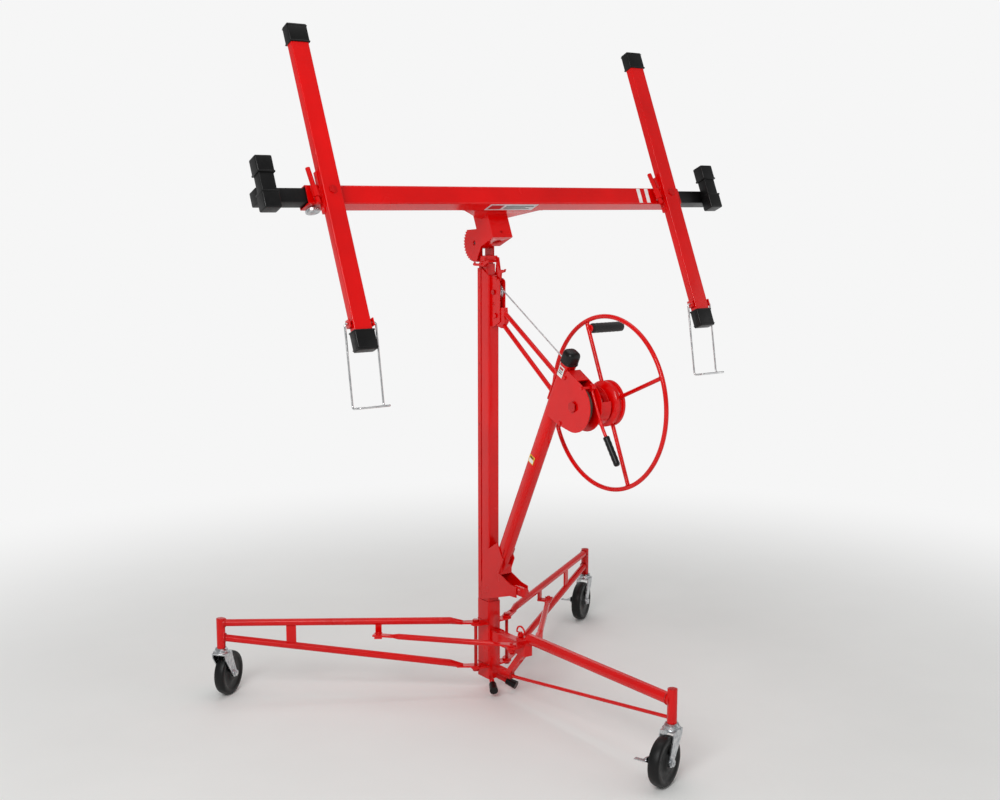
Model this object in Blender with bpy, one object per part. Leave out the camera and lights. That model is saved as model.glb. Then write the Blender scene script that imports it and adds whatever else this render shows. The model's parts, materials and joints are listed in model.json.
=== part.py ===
"""Drywall lift: folding three-legged base, telescoping mast, hand-wheel winch and tilting cradle.

Metres, +Z up. The crossbar runs along X and the operator stands at -Y. The floor is z = 0.
Every piece is built in the frame (an empty) of the body that it belongs to.
"""

from math import asin, atan2, cos, degrees, pi, radians, sin

import bmesh
import bpy
from mathutils import Matrix, Vector

for old in list(bpy.data.objects):
    bpy.data.objects.remove(old, do_unlink=True)

# ---- driving dimensions ------------------------------------------------------------------------
GAP = 0.0003  # between pieces that touch
SLIDE_GAP = 0.0015  # between telescoping sections
MAST_Y = 0.1918  # mast axis behind the middle of the footprint

# base
HUB_FOOT_Z, HUB_TOP_Z, HUB_WALL = 0.038, 0.270, 0.0025
LEG_HINGE = (0.055, -0.015)  # beside the mast axis
SIDE_LEG_LENGTH, SIDE_LEG_AZIMUTH = 0.730, 147.4
CENTRE_LEG_REACH = 0.785
LEG_TUBE_R, CENTRE_TUBE_R, CENTRE_ROD_R = 0.0105, 0.015, 0.005
UPPER_LUG_Z, LOWER_LUG_Z, LUG_THICK = 0.210, 0.080, 0.005
LEG_TUBE_Z, LEG_LOWER_OUT_Z, CENTRE_TUBE_Z = 0.219, 0.180, 0.203
SPACER_AT, LINK_PIN_AT, LINK_PIN_SIDE = 0.53, 0.280, 0.030
LINK_PIVOT = (0.047, -0.180)
LINK_Z, LINK_THICK, LINK_R = 0.1862, 0.005, 0.0085
PIN_R = 0.005

# casters, and the upright sleeves at the ends of the legs that their stems stand in
WHEEL_R, WHEEL_W, TRAIL = 0.0635, 0.030, 0.038
STEM_R, STEM_LONG = 0.006, 0.045
FORK_THICK, FORK_TOP_Z = 0.003, 2 * WHEEL_R + 0.0075
POST_R, POST_LOW_Z, POST_TOP_Z = 0.0125, FORK_TOP_Z + 0.0145, LEG_TUBE_Z + 0.017

# mast
MAST_W, MAST_FRONT, MAST_REAR, MAST_WALL = 0.036, -0.029, 0.021, 0.002
MAST_LOW_Z, MAST_TOP_Z, MAST_TOP_DROP = 0.052, 1.240, 0.030
CABLE_GAP = 0.0105  # room for the lift cable in front of the middle section
MIDDLE_WALL = INNER_WALL = 0.0018
SPINE_THICK = 0.0015
MAST_LATCH_OPEN = 12.0  # degrees off its catch
BRACKET_W, BRACKET_WALL, BRACKET_REACH, BRACKET_LOW_Z = 0.020, 0.0025, 0.042, MAST_TOP_Z - 0.172
PULLEY_Z, PULLEY_R, GROOVE_R, PULLEY_W = MAST_TOP_Z - 0.075, 0.024, 0.019, 0.012
CABLE_R = 0.002

# winch post
POST_FOOT = (-0.022, 0.301)  # y, z where its axis meets the mast
POST_LEAN = 26.5
POST_W, POST_START, POST_END = 0.036, 0.078, 0.808
CAP_LONG = 0.030
GUSSET_THICK = 0.003
BRACE_R = 0.0065

# winch
WINCH_AXIS = (-0.414, 0.888)  # y, z
SHAFT_R = 0.008
HOUSING_WALL, HOUSING_R = 0.0025, 0.068
BRAKE_DRUM_R = 0.050
DRUM_CORE_R, DRUM_FLANGE_R, DRUM_FROM, DRUM_TO = 0.026, 0.0475, 0.0340, 0.0610
GUARD_R, GUARD_WALL = 0.054, 0.0025
RIM_R, RIM_WIRE_R, SPOKE_R, RIM_X = 0.229, 0.0060, 0.0055, 0.094
WHEEL_HUB_R, WHEEL_HUB_FROM, WHEEL_HUB_TO = 0.061, 0.066, 0.120
SPOKE_ANGLE, HANDLE_AT, GRIP_LONG, GRIP_R = 67.0, RIM_R - 0.021, 0.108, 0.0135

# tilting cradle
TILT_PIVOT = (0.020, MAST_TOP_Z + 0.060)  # y, z
TILT_ANGLE = 66.7
TILT_BOLT_R = 0.0065
EAR_R, EAR_THICK, EAR_INSIDE = 0.020, 0.004, 0.018
BAR_AT = (0.069, 0.149)  # crossbar centre along and above the cradle plane, from the pivot
BAR_HALF, BAR_W, BAR_WALL = 0.620, 0.050, 0.0025
SOCKET_W, SOCKET_LONG, SOCKET_TOP = 0.066, 0.146, 0.092
QUADRANT_R, QUADRANT_THICK, NOTCHES, NOTCH_PITCH, NOTCH_DEEP = 0.052, 0.004, 14, 10.0, 0.004
LATCH_CLEAR = 0.0006  # the latch tooth is just out of its notch
ARM_AT, ARM_W, ARM_DEEP, ARM_WALL = BAR_HALF - 0.058, 0.050, 0.025, 0.002
ARM_LOW, ARM_HIGH = -0.409, 0.446  # ends from the crossbar centre, without the caps' end walls
CAP_WALL, CAP_GRIP = 0.0025, 0.045
SADDLE_THICK, SADDLE_LONG, SADDLE_LIP = 0.003, 0.110, 0.014
ARM_PIN_R = 0.006
LOCK_R, LOCK_LONG, LOCK_TILT = 0.0065, 0.102, 10.0
LOCK_SIDE, LOCK_UP, LOCK_RISE = 0.042, 0.017, 0.011  # beside the arm, up along it, off the bar
HOOK_WIRE_R, HOOK_AT, HOOK_DROP, HOOK_TILT = 0.0028, ARM_LOW + 0.064, 0.205, 14.0
OUTRIGGER_W, OUTRIGGER_WALL = 0.038, 0.002
OUTRIGGER_IN, OUTRIGGER_OUT = BAR_HALF - 0.290, BAR_HALF + 0.132
PAD_AT, PAD_W, PAD_LONG, PAD_CENTRE = OUTRIGGER_OUT - 0.020, 0.040, 0.130, 0.020
KNOB_AT, KNOB_R, KNOB_THICK = BAR_HALF - 0.020, 0.019, 0.008


# ---- materials ---------------------------------------------------------------------------------
def paint(name, colour, roughness, metallic=0.0):
    """A Principled material."""
    material = bpy.data.materials.new(name)
    material.use_nodes = True
    shader = material.node_tree.nodes["Principled BSDF"]
    shader.inputs["Base Color"].default_value = (*colour, 1.0)
    shader.inputs["Roughness"].default_value = roughness
    shader.inputs["Metallic"].default_value = metallic
    return material


RED = paint("red_paint", (0.62, 0.006, 0.006), 0.28)
BLACK_RUBBER = paint("black_rubber", (0.012, 0.012, 0.013), 0.62)
BLACK_PAINT = paint("black_paint", (0.018, 0.018, 0.019), 0.42)
FOAM = paint("black_foam", (0.015, 0.015, 0.016), 0.85)
ZINC = paint("zinc_plate", (0.62, 0.63, 0.64), 0.30, 1.0)
CABLE_STEEL = paint("cable_steel", (0.45, 0.45, 0.46), 0.42, 1.0)


# ---- frames and shapes -------------------------------------------------------------------------
def frame(name, at, turn=(0.0, 0.0, 0.0), parent=None):
    """An empty that carries the pieces of one body, on its joint's axis; turn is in degrees."""
    empty = bpy.data.objects.new(name, None)
    empty.empty_display_size = 0.03
    empty.location = at
    empty.rotation_euler = [radians(angle) for angle in turn]
    empty.parent = parent
    bpy.context.scene.collection.objects.link(empty)
    return empty


def shape(bm, parent, name="shape"):
    """A helper object in a frame. It shows in no render until part() makes it a piece."""
    bmesh.ops.recalc_face_normals(bm, faces=bm.faces)
    mesh = bpy.data.meshes.new(name)
    bm.to_mesh(mesh)
    bm.free()
    obj = bpy.data.objects.new(name, mesh)
    obj.parent = parent
    obj.hide_render = True
    obj.display_type = "WIRE"
    bpy.context.scene.collection.objects.link(obj)
    return obj


def part(name, body, material, add=(), cut=()):
    """Makes a helper the named piece, with others joined to it and then cut from it."""
    body.name = name
    body.data.name = name
    body.hide_render = False
    body.display_type = "TEXTURED"
    for operation, others in (("UNION", add), ("DIFFERENCE", cut)):
        for other in others:
            boolean = body.modifiers.new(operation.lower(), "BOOLEAN")
            boolean.operation = operation
            boolean.object = other
    body.data.materials.append(material)
    body.data.shade_smooth()
    body.data.set_sharp_from_angle(angle=radians(35))
    return body


def box(parent, lo, hi):
    """A block between two corners."""
    bm = bmesh.new()
    bmesh.ops.create_cube(bm, size=1.0)
    size = Vector(hi) - Vector(lo)
    middle = (Vector(hi) + Vector(lo)) / 2
    bmesh.ops.transform(bm, matrix=Matrix.Translation(middle) @ Matrix.Diagonal((*size, 1.0)), verts=bm.verts)
    return shape(bm, parent)


def axes_of(axis):
    """The two directions across an axis, in right-handed order."""
    return {"X": (Vector((0, 1, 0)), Vector((0, 0, 1)), Vector((1, 0, 0))),
            "Y": (Vector((0, 0, 1)), Vector((1, 0, 0)), Vector((0, 1, 0))),
            "Z": (Vector((1, 0, 0)), Vector((0, 1, 0)), Vector((0, 0, 1)))}[axis]


def prism(parent, outline, axis, low, high):
    """An outline, given in the two directions across the axis, carried from low to high along it."""
    first, second, along = axes_of(axis)
    bm = bmesh.new()
    verts = [bm.verts.new(first * a + second * b + along * low) for a, b in outline]
    face = bm.faces.new(verts)
    grown = bmesh.ops.extrude_face_region(bm, geom=[face])["geom"]
    moved = [item for item in grown if isinstance(item, bmesh.types.BMVert)]
    bmesh.ops.translate(bm, vec=along * (high - low), verts=moved)
    return shape(bm, parent)


def arc(centre, radius, start, end, steps):
    """Points along an arc, in degrees."""
    angles = [radians(start + (end - start) * i / steps) for i in range(steps + 1)]
    return [(centre[0] + radius * cos(a), centre[1] + radius * sin(a)) for a in angles]


def rounded(low, high, radius, steps=2):
    """A rectangle with round corners."""
    (a0, b0), (a1, b1) = low, high
    corners = ((a1, b1, 0), (a0, b1, 90), (a0, b0, 180), (a1, b0, 270))
    points = []
    for a, b, start in corners:
        centre = (a - radius if start in (0, 270) else a + radius, b - radius if start < 180 else b + radius)
        points += arc(centre, radius, start, start + 90, steps)
    return points


def tube(parent, low, high, wall, axis, start, end, corner=0.004):
    """A rectangular tube with round corners, open at both ends."""
    first, second, along = axes_of(axis)
    outer = rounded(low, high, corner)
    inner = rounded([v + wall for v in low], [v - wall for v in high], max(corner - wall, 0.0004))
    bm = bmesh.new()
    rings = []
    for outline, place in ((outer, start), (outer, end), (inner, end), (inner, start)):
        rings.append([bm.verts.new(first * a + second * b + along * place) for a, b in outline])
    for near, far in zip(rings, rings[1:] + rings[:1]):
        for i in range(len(near)):
            j = (i + 1) % len(near)
            bm.faces.new((near[i], near[j], far[j], far[i]))
    return shape(bm, parent)


def rod(parent, start, end, radius, sides=10, end_radius=None):
    """A round bar between two points."""
    start, end = Vector(start), Vector(end)
    bm = bmesh.new()
    length = (end - start).length
    end_radius = radius if end_radius is None else end_radius
    bmesh.ops.create_cone(bm, cap_ends=True, segments=sides, radius1=radius, radius2=end_radius, depth=length)
    turn = (end - start).to_track_quat("Z", "Y").to_matrix().to_4x4()
    bmesh.ops.transform(bm, matrix=Matrix.Translation((start + end) / 2) @ turn, verts=bm.verts)
    return shape(bm, parent)


def around(radius, sides=10):
    """The radius of a hole with that many sides that clears a pin all round."""
    return (radius + GAP) / cos(pi / sides)


def turned(parent, profile, axis, centre, steps=24):
    """A closed profile of (distance along the axis, radius) turned round the axis through centre."""
    first, second, along = axes_of(axis)
    bm = bmesh.new()
    rings = []
    for i in range(steps):
        angle = 2 * pi * i / steps
        out = first * cos(angle) + second * sin(angle)
        rings.append([bm.verts.new(Vector(centre) + along * a + out * r) for a, r in profile])
    for near, far in zip(rings, rings[1:] + rings[:1]):
        for i in range(len(profile)):
            j = (i + 1) % len(profile)
            bm.faces.new((near[i], near[j], far[j], far[i]))
    return shape(bm, parent)


def wire(parent, points, radius, sides=8, closed=False):
    """A round wire through points, with a mitre at each."""
    points = [Vector(p) for p in points]
    count = len(points)
    bm = bmesh.new()
    rings = []
    up = Vector((0, 0, 1))
    for i, point in enumerate(points):
        before = points[i - 1] if closed or i else point
        after = points[(i + 1) % count] if closed or i < count - 1 else point
        toward = ((after - point).normalized() + (point - before).normalized()).normalized()
        side = toward.cross(up)
        side = side.normalized() if side.length > 0.3 else toward.cross(Vector((1, 0, 0))).normalized()
        over = side.cross(toward)
        if rings:  # keep the ring's start beside the last one's, so that the wire isn't twisted
            last = rings[-1][0].co - points[i - 1]
            side = (last - toward * last.dot(toward)).normalized()
            over = side.cross(toward)
        ring = []
        for k in range(sides):
            angle = 2 * pi * k / sides
            ring.append(bm.verts.new(point + (side * cos(angle) + over * sin(angle)) * radius))
        rings.append(ring)
    pairs = list(zip(rings, rings[1:])) + ([(rings[-1], rings[0])] if closed else [])
    for near, far in pairs:
        for k in range(sides):
            m = (k + 1) % sides
            bm.faces.new((near[k], near[m], far[m], far[k]))
    if not closed:
        bm.faces.new(rings[0])
        bm.faces.new(rings[-1])
    return shape(bm, parent)


def round_the_bend(points, radius, steps=4):
    """The points with each inner corner replaced by a short arc."""
    points = [Vector(p) for p in points]
    smooth = [points[0]]
    for before, corner, after in zip(points, points[1:], points[2:]):
        back, on = (before - corner).normalized(), (after - corner).normalized()
        for i in range(steps + 1):
            t = i / steps
            start, end = corner + back * radius, corner + on * radius
            smooth.append(start * (1 - t) ** 2 + corner * 2 * t * (1 - t) + end * t ** 2)
    return smooth + [points[-1]]


def bolt(parent, axis, centre, low, high, radius, head=0.0, nut=0.0):
    """A bolt along an axis from low to high, with a hexagon head past low and a nut past high."""
    along = axes_of(axis)[2]
    ends = [Vector(centre) + along * place for place in (low, high)]
    pieces = [rod(parent, ends[0] - along * (0.001 if head else 0), ends[1] + along * (0.001 if nut else 0),
                  radius)]
    for end, long, way in ((ends[0], head, -1), (ends[1], nut, 1)):
        if long:
            pieces.append(rod(parent, end, end + along * way * long, radius * 1.85, 6))
    return pieces


# ---- base --------------------------------------------------------------------------------------
lift = frame("lift_frame", (0.0, MAST_Y, 0.0))
HUB_W = MAST_W + 2 * (HUB_WALL + GAP)
HUB_FRONT = MAST_FRONT - GAP - HUB_WALL
HUB_REAR = MAST_REAR + SPINE_THICK + 2 * GAP + HUB_WALL
SPINE_OUT = MAST_W / 2 + GAP + SPINE_THICK


def hub_pieces():
    """The hub column with its hinge lugs, foot stubs and the root that carries the centre leg."""
    low, high = (-HUB_W / 2, HUB_FRONT), (HUB_W / 2, HUB_REAR)
    column = tube(lift, low, high, HUB_WALL, "Z", HUB_FOOT_Z, HUB_TOP_Z)
    add = [box(lift, (-HUB_W / 2 + 0.001, HUB_FRONT + 0.001, HUB_FOOT_Z),
               (HUB_W / 2 - 0.001, HUB_REAR - 0.001, MAST_LOW_Z - GAP))]
    cut = []
    for side in (-1, 1):
        x, y = side * LEG_HINGE[0], LEG_HINGE[1]
        for z in (UPPER_LUG_Z, LOWER_LUG_Z):
            outline = arc((x, y), 0.014, -90 if side > 0 else 90, 90 if side > 0 else 270, 6)
            outline += [(side * (HUB_W / 2 - 0.001), y + side * 0.020),
                        (side * (HUB_W / 2 - 0.001), y - side * 0.016)]
            add.append(prism(lift, outline, "Z", z - LUG_THICK, z))
            cut.append(rod(lift, (x, y, z - 0.02), (x, y, z + 0.02), around(PIN_R)))
        foot_out = (side * 0.030, HUB_FRONT - 0.034, 0.030)
        add.append(rod(lift, (side * 0.010, HUB_FRONT + 0.004, HUB_FOOT_Z + 0.005), foot_out, 0.007))
    # root of the centre leg: a top bar, a lower bar and the strut between their ends
    reach = -0.196
    add.append(box(lift, (-0.013, reach, 0.150), (0.013, HUB_FRONT + 0.001, 0.186)))
    add.append(box(lift, (-0.009, -0.118, 0.062), (0.009, HUB_FRONT + 0.001, 0.080)))
    add.append(prism(lift, [(-0.103, 0.063), (-0.087, 0.068), (-0.172, 0.168), (-0.190, 0.158)], "X", -0.008,
                     0.008))
    add.append(box(lift, (-LINK_PIVOT[0] - 0.014, LINK_PIVOT[1] - 0.014, LINK_Z - GAP - 0.008),
                   (LINK_PIVOT[0] + 0.014, LINK_PIVOT[1] + 0.014, LINK_Z - GAP)))
    for side in (-1, 1):
        x, y = side * LINK_PIVOT[0], LINK_PIVOT[1]
        add += bolt(lift, "Z", (x, y, 0), LINK_Z - 0.012, LINK_Z + LINK_THICK + GAP + 0.002, PIN_R,
                    head=0.007)
    return column, add, cut


column, hub_add, hub_cut = hub_pieces()
hub_cut.append(rod(lift, (0, -0.160, 0.10), (0, -0.160, 0.30), around(PIN_R)))
part("base_hub", column, RED, hub_add, hub_cut)
for side, word in ((-1, "left"), (1, "right")):
    x, y = side * LEG_HINGE[0], LEG_HINGE[1]
    pieces = bolt(lift, "Z", (x, y, 0), LOWER_LUG_Z - LUG_THICK - GAP, UPPER_LUG_Z + LUG_THICK + 2 * GAP,
                  PIN_R, head=0.007, nut=0.006)
    part(f"{word}_hinge_bolt", pieces[0], ZINC, pieces[1:])
    start = Vector((side * 0.010, HUB_FRONT + 0.004, HUB_FOOT_Z + 0.005))
    end = Vector((side * 0.030, HUB_FRONT - 0.034, 0.030))
    way = (end - start).normalized()
    tip = rod(lift, end - way * 0.010, end + way * 0.022, 0.0105, end_radius=0.0125)
    part(f"{word}_foot_tip", tip, BLACK_RUBBER, cut=[rod(lift, start, end + way * GAP, 0.007 + GAP)])


def caster_post(parent, x):
    """The upright sleeve at a leg's end, bored from below for the caster's stem."""
    body = rod(parent, (x, 0, POST_LOW_Z), (x, 0, POST_TOP_Z), POST_R, 16)
    bore = rod(parent, (x, 0, POST_LOW_Z - 0.01), (x, 0, POST_LOW_Z + STEM_LONG + 0.002), around(STEM_R))
    return body, bore


def side_leg(word, side):
    """A folding leg, in a frame on its hinge with +X along the leg. side is -1 on the left."""
    azimuth = SIDE_LEG_AZIMUTH if side < 0 else 180 - SIDE_LEG_AZIMUTH
    leg = frame(f"{word}_leg_hinge", (side * LEG_HINGE[0], LEG_HINGE[1], 0), (0, 0, azimuth), lift)
    out = SIDE_LEG_LENGTH
    body, bore = caster_post(leg, out)
    top_lug, low_lug = UPPER_LUG_Z + GAP, LOWER_LUG_Z + GAP
    add = []
    for z in (top_lug, low_lug):
        lug = arc((0, 0), 0.013, 90, 270, 6) + [(0.055, -0.010), (0.055, 0.010)]
        add.append(prism(leg, lug, "Z", z, z + LUG_THICK))
    add.append(rod(leg, (0.038, 0, top_lug + 0.0025), (0.075, 0, LEG_TUBE_Z), 0.007, end_radius=LEG_TUBE_R))
    add.append(rod(leg, (0.074, 0, LEG_TUBE_Z), (out, 0, LEG_TUBE_Z + 0.004), LEG_TUBE_R))
    rise = (LEG_LOWER_OUT_Z - low_lug) / out
    add.append(rod(leg, (0.038, 0, low_lug + 0.003), (0.075, 0, low_lug + 0.012), 0.007,
                   end_radius=LEG_TUBE_R))
    add.append(rod(leg, (0.074, 0, low_lug + 0.012), (out, 0, LEG_LOWER_OUT_Z), LEG_TUBE_R))
    lower_z = low_lug + rise * SPACER_AT
    add.append(box(leg, (SPACER_AT - 0.014, -0.003, lower_z), (SPACER_AT + 0.014, 0.003, LEG_TUBE_Z)))
    x, y = LINK_PIN_AT, -side * LINK_PIN_SIDE
    lug_low, lug_high = LINK_Z - GAP - 0.006, LINK_Z - GAP
    add.append(box(leg, (x - 0.009, -0.004, lug_low), (x + 0.009, 0.004, LEG_TUBE_Z)))
    add.append(box(leg, (x - 0.011, min(y * 1.3, -0.0039), lug_low), (x + 0.011, max(y * 1.3, 0.0039),
                                                                      lug_high)))
    add.append(rod(leg, (x, y, lug_low + 0.001), (x, y, LINK_Z + LINK_THICK + 0.006), PIN_R))
    cut = [bore] + [rod(leg, (0, 0, z - 0.01), (0, 0, z + 0.02), around(PIN_R)) for z in (top_lug, low_lug)]
    part(f"{word}_leg", body, RED, add, cut)
    return leg


def link_end(side):
    """Where the leg's hook pin stands, in the lift's frame."""
    azimuth = radians(SIDE_LEG_AZIMUTH if side < 0 else 180 - SIDE_LEG_AZIMUTH)
    x, y = LINK_PIN_AT, -side * LINK_PIN_SIDE
    return Vector((side * LEG_HINGE[0] + x * cos(azimuth) - y * sin(azimuth),
                   LEG_HINGE[1] + x * sin(azimuth) + y * cos(azimuth), 0))


def spreader_link(word, side):
    """The link that holds a leg open, in a frame on its inner bolt with +X towards the leg's pin."""
    pivot = Vector((side * LINK_PIVOT[0], LINK_PIVOT[1], 0))
    reach = link_end(side) - pivot
    link = frame(f"{word}_link_pivot", pivot, (0, 0, degrees(atan2(reach.y, reach.x))), lift)
    long = reach.length
    toward_leg = side  # local y on the leg's side
    z, top = LINK_Z, LINK_Z + LINK_THICK
    body = prism(link, arc((0, 0), 0.012, 90, 270, 6) + [(0.050, -0.009), (0.050, 0.009)], "Z", z, top)
    middle = (z + top) / 2
    add = [rod(link, (0.034, 0, middle), (0.062, 0, middle), 0.004, end_radius=LINK_R),
           rod(link, (0.061, 0, middle), (long - 0.061, 0, middle), LINK_R),
           rod(link, (long - 0.062, 0, middle), (long - 0.034, 0, middle), LINK_R, end_radius=0.004),
           prism(link, [(long - 0.050, -0.009), (long + 0.014, -0.012), (long + 0.014, 0.012),
                        (long - 0.050, 0.009)],
                 "Z", z, top)]
    half = PIN_R + 0.0008
    mouth = [(long - half, -toward_leg * half), (long + half, -toward_leg * half),
             (long + half + 0.012, toward_leg * 0.02), (long - half - 0.004, toward_leg * 0.02)]
    cut = [rod(link, (0, 0, z - 0.01), (0, 0, top + 0.01), around(PIN_R)), prism(link, mouth, "Z", z - 0.01,
                                                                                 top + 0.01)]
    part(f"{word}_link", body, RED, add, cut)


left_leg_frame = side_leg("left", -1)
right_leg_frame = side_leg("right", 1)
spreader_link("left", -1)
spreader_link("right", 1)


def centre_leg():
    """The leg that points at the operator: main tube, thin lower rod and caster post."""
    leg = frame("centre_leg_frame", (0, 0, 0), (0, 0, -90), lift)
    out = CENTRE_LEG_REACH
    body, bore = caster_post(leg, out)
    inner_z = 0.186 + GAP
    add = [rod(leg, (0.205, 0, CENTRE_TUBE_Z), (out, 0, CENTRE_TUBE_Z + 0.004), CENTRE_TUBE_R, 16),
           rod(leg, (0.180, 0, inner_z + 0.0066), (0.206, 0, CENTRE_TUBE_Z), 0.0064, 16, CENTRE_TUBE_R),
           prism(leg, arc((0.160, 0), 0.013, 90, 270, 6) + [(0.200, -0.012), (0.200, 0.012)], "Z", inner_z,
                 inner_z + 0.012),
           rod(leg, (0.1187, 0, 0.071), (0.150, 0, 0.074), CENTRE_ROD_R),
           rod(leg, (0.149, 0, 0.0739), (out, 0, 0.161), CENTRE_ROD_R)]
    cut = [bore, rod(leg, (0.160, 0, 0.17), (0.160, 0, 0.25), around(PIN_R))]
    part("centre_leg", body, RED, add, cut)
    return leg


centre_leg_frame = centre_leg()


def ring_pin():
    """The pull pin through the centre leg and its root, with a wire loop to pull it by."""
    pin = frame("ring_pin_frame", (0, -0.160, 0), parent=lift)
    body = rod(pin, (0, 0, 0.136), (0, 0, 0.212), PIN_R)
    add = [rod(pin, (0, 0, 0.200), (0, 0, 0.207), 0.009, 12)]
    loop = [(0, r, z + 0.209) for r, z in arc((0, 0), 0.019, 0, 180, 8)]
    add.append(wire(pin, [(0, 0.003, 0.209)] + loop + [(0, -0.003, 0.209)], 0.0026, 6))
    part("ring_pin", body, RED, add)


ring_pin()


# ---- casters -----------------------------------------------------------------------------------
def caster(word, leg, reach, heading, brake):
    """A swivel caster under a leg's post. heading is the way its wheel trails, in degrees in the leg's frame."""
    swivel = frame(f"{word}_caster_swivel", (reach, 0, 0), (0, 0, heading), leg)
    axle_z = WHEEL_R
    inside = WHEEL_W / 2 + 0.0025
    outside = inside + FORK_THICK
    body = rod(swivel, (0, 0, FORK_TOP_Z - 0.0005), (0, 0, POST_LOW_Z - GAP), 0.021, 16, 0.017)
    add = [rod(swivel, (0, 0, FORK_TOP_Z - 0.001), (0, 0, POST_LOW_Z + STEM_LONG), STEM_R),
           box(swivel, (-0.020, -outside, FORK_TOP_Z - FORK_THICK), (0.024, outside, FORK_TOP_Z + 0.0005))]
    cheek = [(0.024, FORK_TOP_Z - 0.0005), (-0.020, FORK_TOP_Z - 0.0005), (-0.016, FORK_TOP_Z - 0.016)]
    cheek += arc((TRAIL, axle_z), 0.012, 200, 380, 5) + [(0.030, FORK_TOP_Z - 0.020)]
    for low, high in ((-outside, -inside), (inside, outside)):
        add.append(prism(swivel, [(z, x) for x, z in cheek], "Y", low, high))
    add.append(rod(swivel, (TRAIL, -outside - 0.004, axle_z), (TRAIL, outside + 0.004, axle_z), STEM_R))
    add.append(rod(swivel, (TRAIL, outside - 0.0005, axle_z), (TRAIL, outside + 0.0045, axle_z), 0.010, 6))
    part(f"{word}_caster_fork", body, ZINC, add)

    half = WHEEL_W / 2
    hub = half + 0.0018
    profile = [(-half, WHEEL_R - 0.006), (-half + 0.007, WHEEL_R), (half - 0.007, WHEEL_R),
               (half, WHEEL_R - 0.006),
               (half, 0.022), (hub, 0.017), (hub, STEM_R + GAP), (-hub, STEM_R + GAP), (-hub, 0.017), (-half,
                                                                                                       0.022)]
    wheel_frame = frame(f"{word}_caster_axle", (TRAIL, 0, axle_z), parent=swivel)
    part(f"{word}_caster_wheel", turned(wheel_frame, profile, "Y", (0, 0, 0), 24), BLACK_RUBBER)
    if brake:
        lever = frame(f"{word}_brake_pivot", (TRAIL, 0, axle_z), parent=swivel)
        place = -outside - GAP
        plate = [(-0.013, -0.011), (0.006, -0.011), (0.020, 0.020), (0.022, 0.052), (0.013, 0.056),
                 (-0.004, 0.030), (-0.013, 0.012)]
        arm = prism(lever, plate, "Y", place - 0.0025, place)
        part(f"{word}_brake", arm, ZINC, [box(lever, (0.046, place - 0.032, 0.012),
                                              (0.058, place - 0.0005, 0.0145)),
                                         box(lever, (0.030, place - 0.012, 0.010),
                                             (0.050, place - 0.0005, 0.0145))],
             [rod(lever, (0, place - 0.01, 0), (0, place + 0.01, 0), around(STEM_R))])


caster("left", left_leg_frame, SIDE_LEG_LENGTH, -109.6, False)
caster("right", right_leg_frame, SIDE_LEG_LENGTH, 180.0, True)
caster("front", centre_leg_frame, CENTRE_LEG_REACH, -69.7, True)


# ---- mast --------------------------------------------------------------------------------------
PULLEY_Y = MAST_FRONT + MAST_WALL + CABLE_GAP / 2 - GROOVE_R - CABLE_R
MIDDLE_W = MAST_W - 2 * (MAST_WALL + SLIDE_GAP)
MIDDLE_FRONT, MIDDLE_REAR = MAST_FRONT + MAST_WALL + CABLE_GAP, MAST_REAR - MAST_WALL - SLIDE_GAP / 2
INNER_W = MIDDLE_W - 2 * (MIDDLE_WALL + SLIDE_GAP)
INNER_FRONT, INNER_REAR = MIDDLE_FRONT + MIDDLE_WALL + SLIDE_GAP, MIDDLE_REAR - MIDDLE_WALL - SLIDE_GAP
MIDDLE_TOP_Z = MAST_TOP_Z + 0.003
YOKE_LOW_Z, YOKE_HIGH_Z = MIDDLE_TOP_Z + 0.004, MIDDLE_TOP_Z + 0.022
BRACKET_BOLT_R, LATCH_PIN_R = 0.004, 0.0025
LATCH_AT = (MAST_FRONT - 0.028, MAST_TOP_Z - MAST_TOP_DROP - 0.0085)  # y, z
BRACE_BOLT_AT = (MAST_FRONT - 0.022, BRACKET_LOW_Z + 0.032)  # y, z
PAWL_AT = (TILT_PIVOT[0] - 0.034, TILT_PIVOT[1] - QUADRANT_R - 0.0055)  # y, z


def outer_mast():
    """The fixed section: a tube with a slanted top, and the bracket of the lift pulley on its front."""
    low, high = (-MAST_W / 2, MAST_FRONT), (MAST_W / 2, MAST_REAR)
    body = tube(lift, low, high, MAST_WALL, "Z", MAST_LOW_Z, MAST_TOP_Z)
    front = MAST_FRONT - BRACKET_REACH
    top = MAST_TOP_Z - MAST_TOP_DROP
    cheek = [(MAST_FRONT + 0.001, BRACKET_LOW_Z), (MAST_FRONT - 0.012, BRACKET_LOW_Z),
             (front, BRACKET_LOW_Z + 0.016)]
    cheek += arc((front + 0.010, top - 0.018), 0.010, 180, 100, 3) + [(MAST_FRONT + 0.001, top + 0.004)]
    add = []
    for side in (-1, 1):
        x = (BRACKET_W / 2 - BRACKET_WALL) * side, BRACKET_W / 2 * side
        add.append(prism(lift, cheek, "X", min(x), max(x)))
    slope = [(MAST_FRONT - 0.01, top - 0.006), (MAST_REAR + 0.01, MAST_TOP_Z + 0.006),
             (MAST_FRONT - 0.01, MAST_TOP_Z + 0.02)]
    slot_w = BRACKET_W / 2 - BRACKET_WALL
    cut = [prism(lift, slope, "X", -0.03, 0.03),
           box(lift, (-slot_w, MAST_FRONT - 0.003, PULLEY_Z - 0.030), (slot_w, MAST_FRONT + MAST_WALL + 0.002,
                                                                       PULLEY_Z + 0.030)),
           rod(lift, (-0.03, PULLEY_Y, PULLEY_Z), (0.03, PULLEY_Y, PULLEY_Z), around(BRACKET_BOLT_R)),
           rod(lift, (-0.03, *LATCH_AT), (0.03, *LATCH_AT), around(LATCH_PIN_R)),
           rod(lift, (-0.03, *BRACE_BOLT_AT), (0.03, *BRACE_BOLT_AT), around(BRACKET_BOLT_R))]
    part("outer_mast", body, RED, add, cut)


outer_mast()


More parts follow.
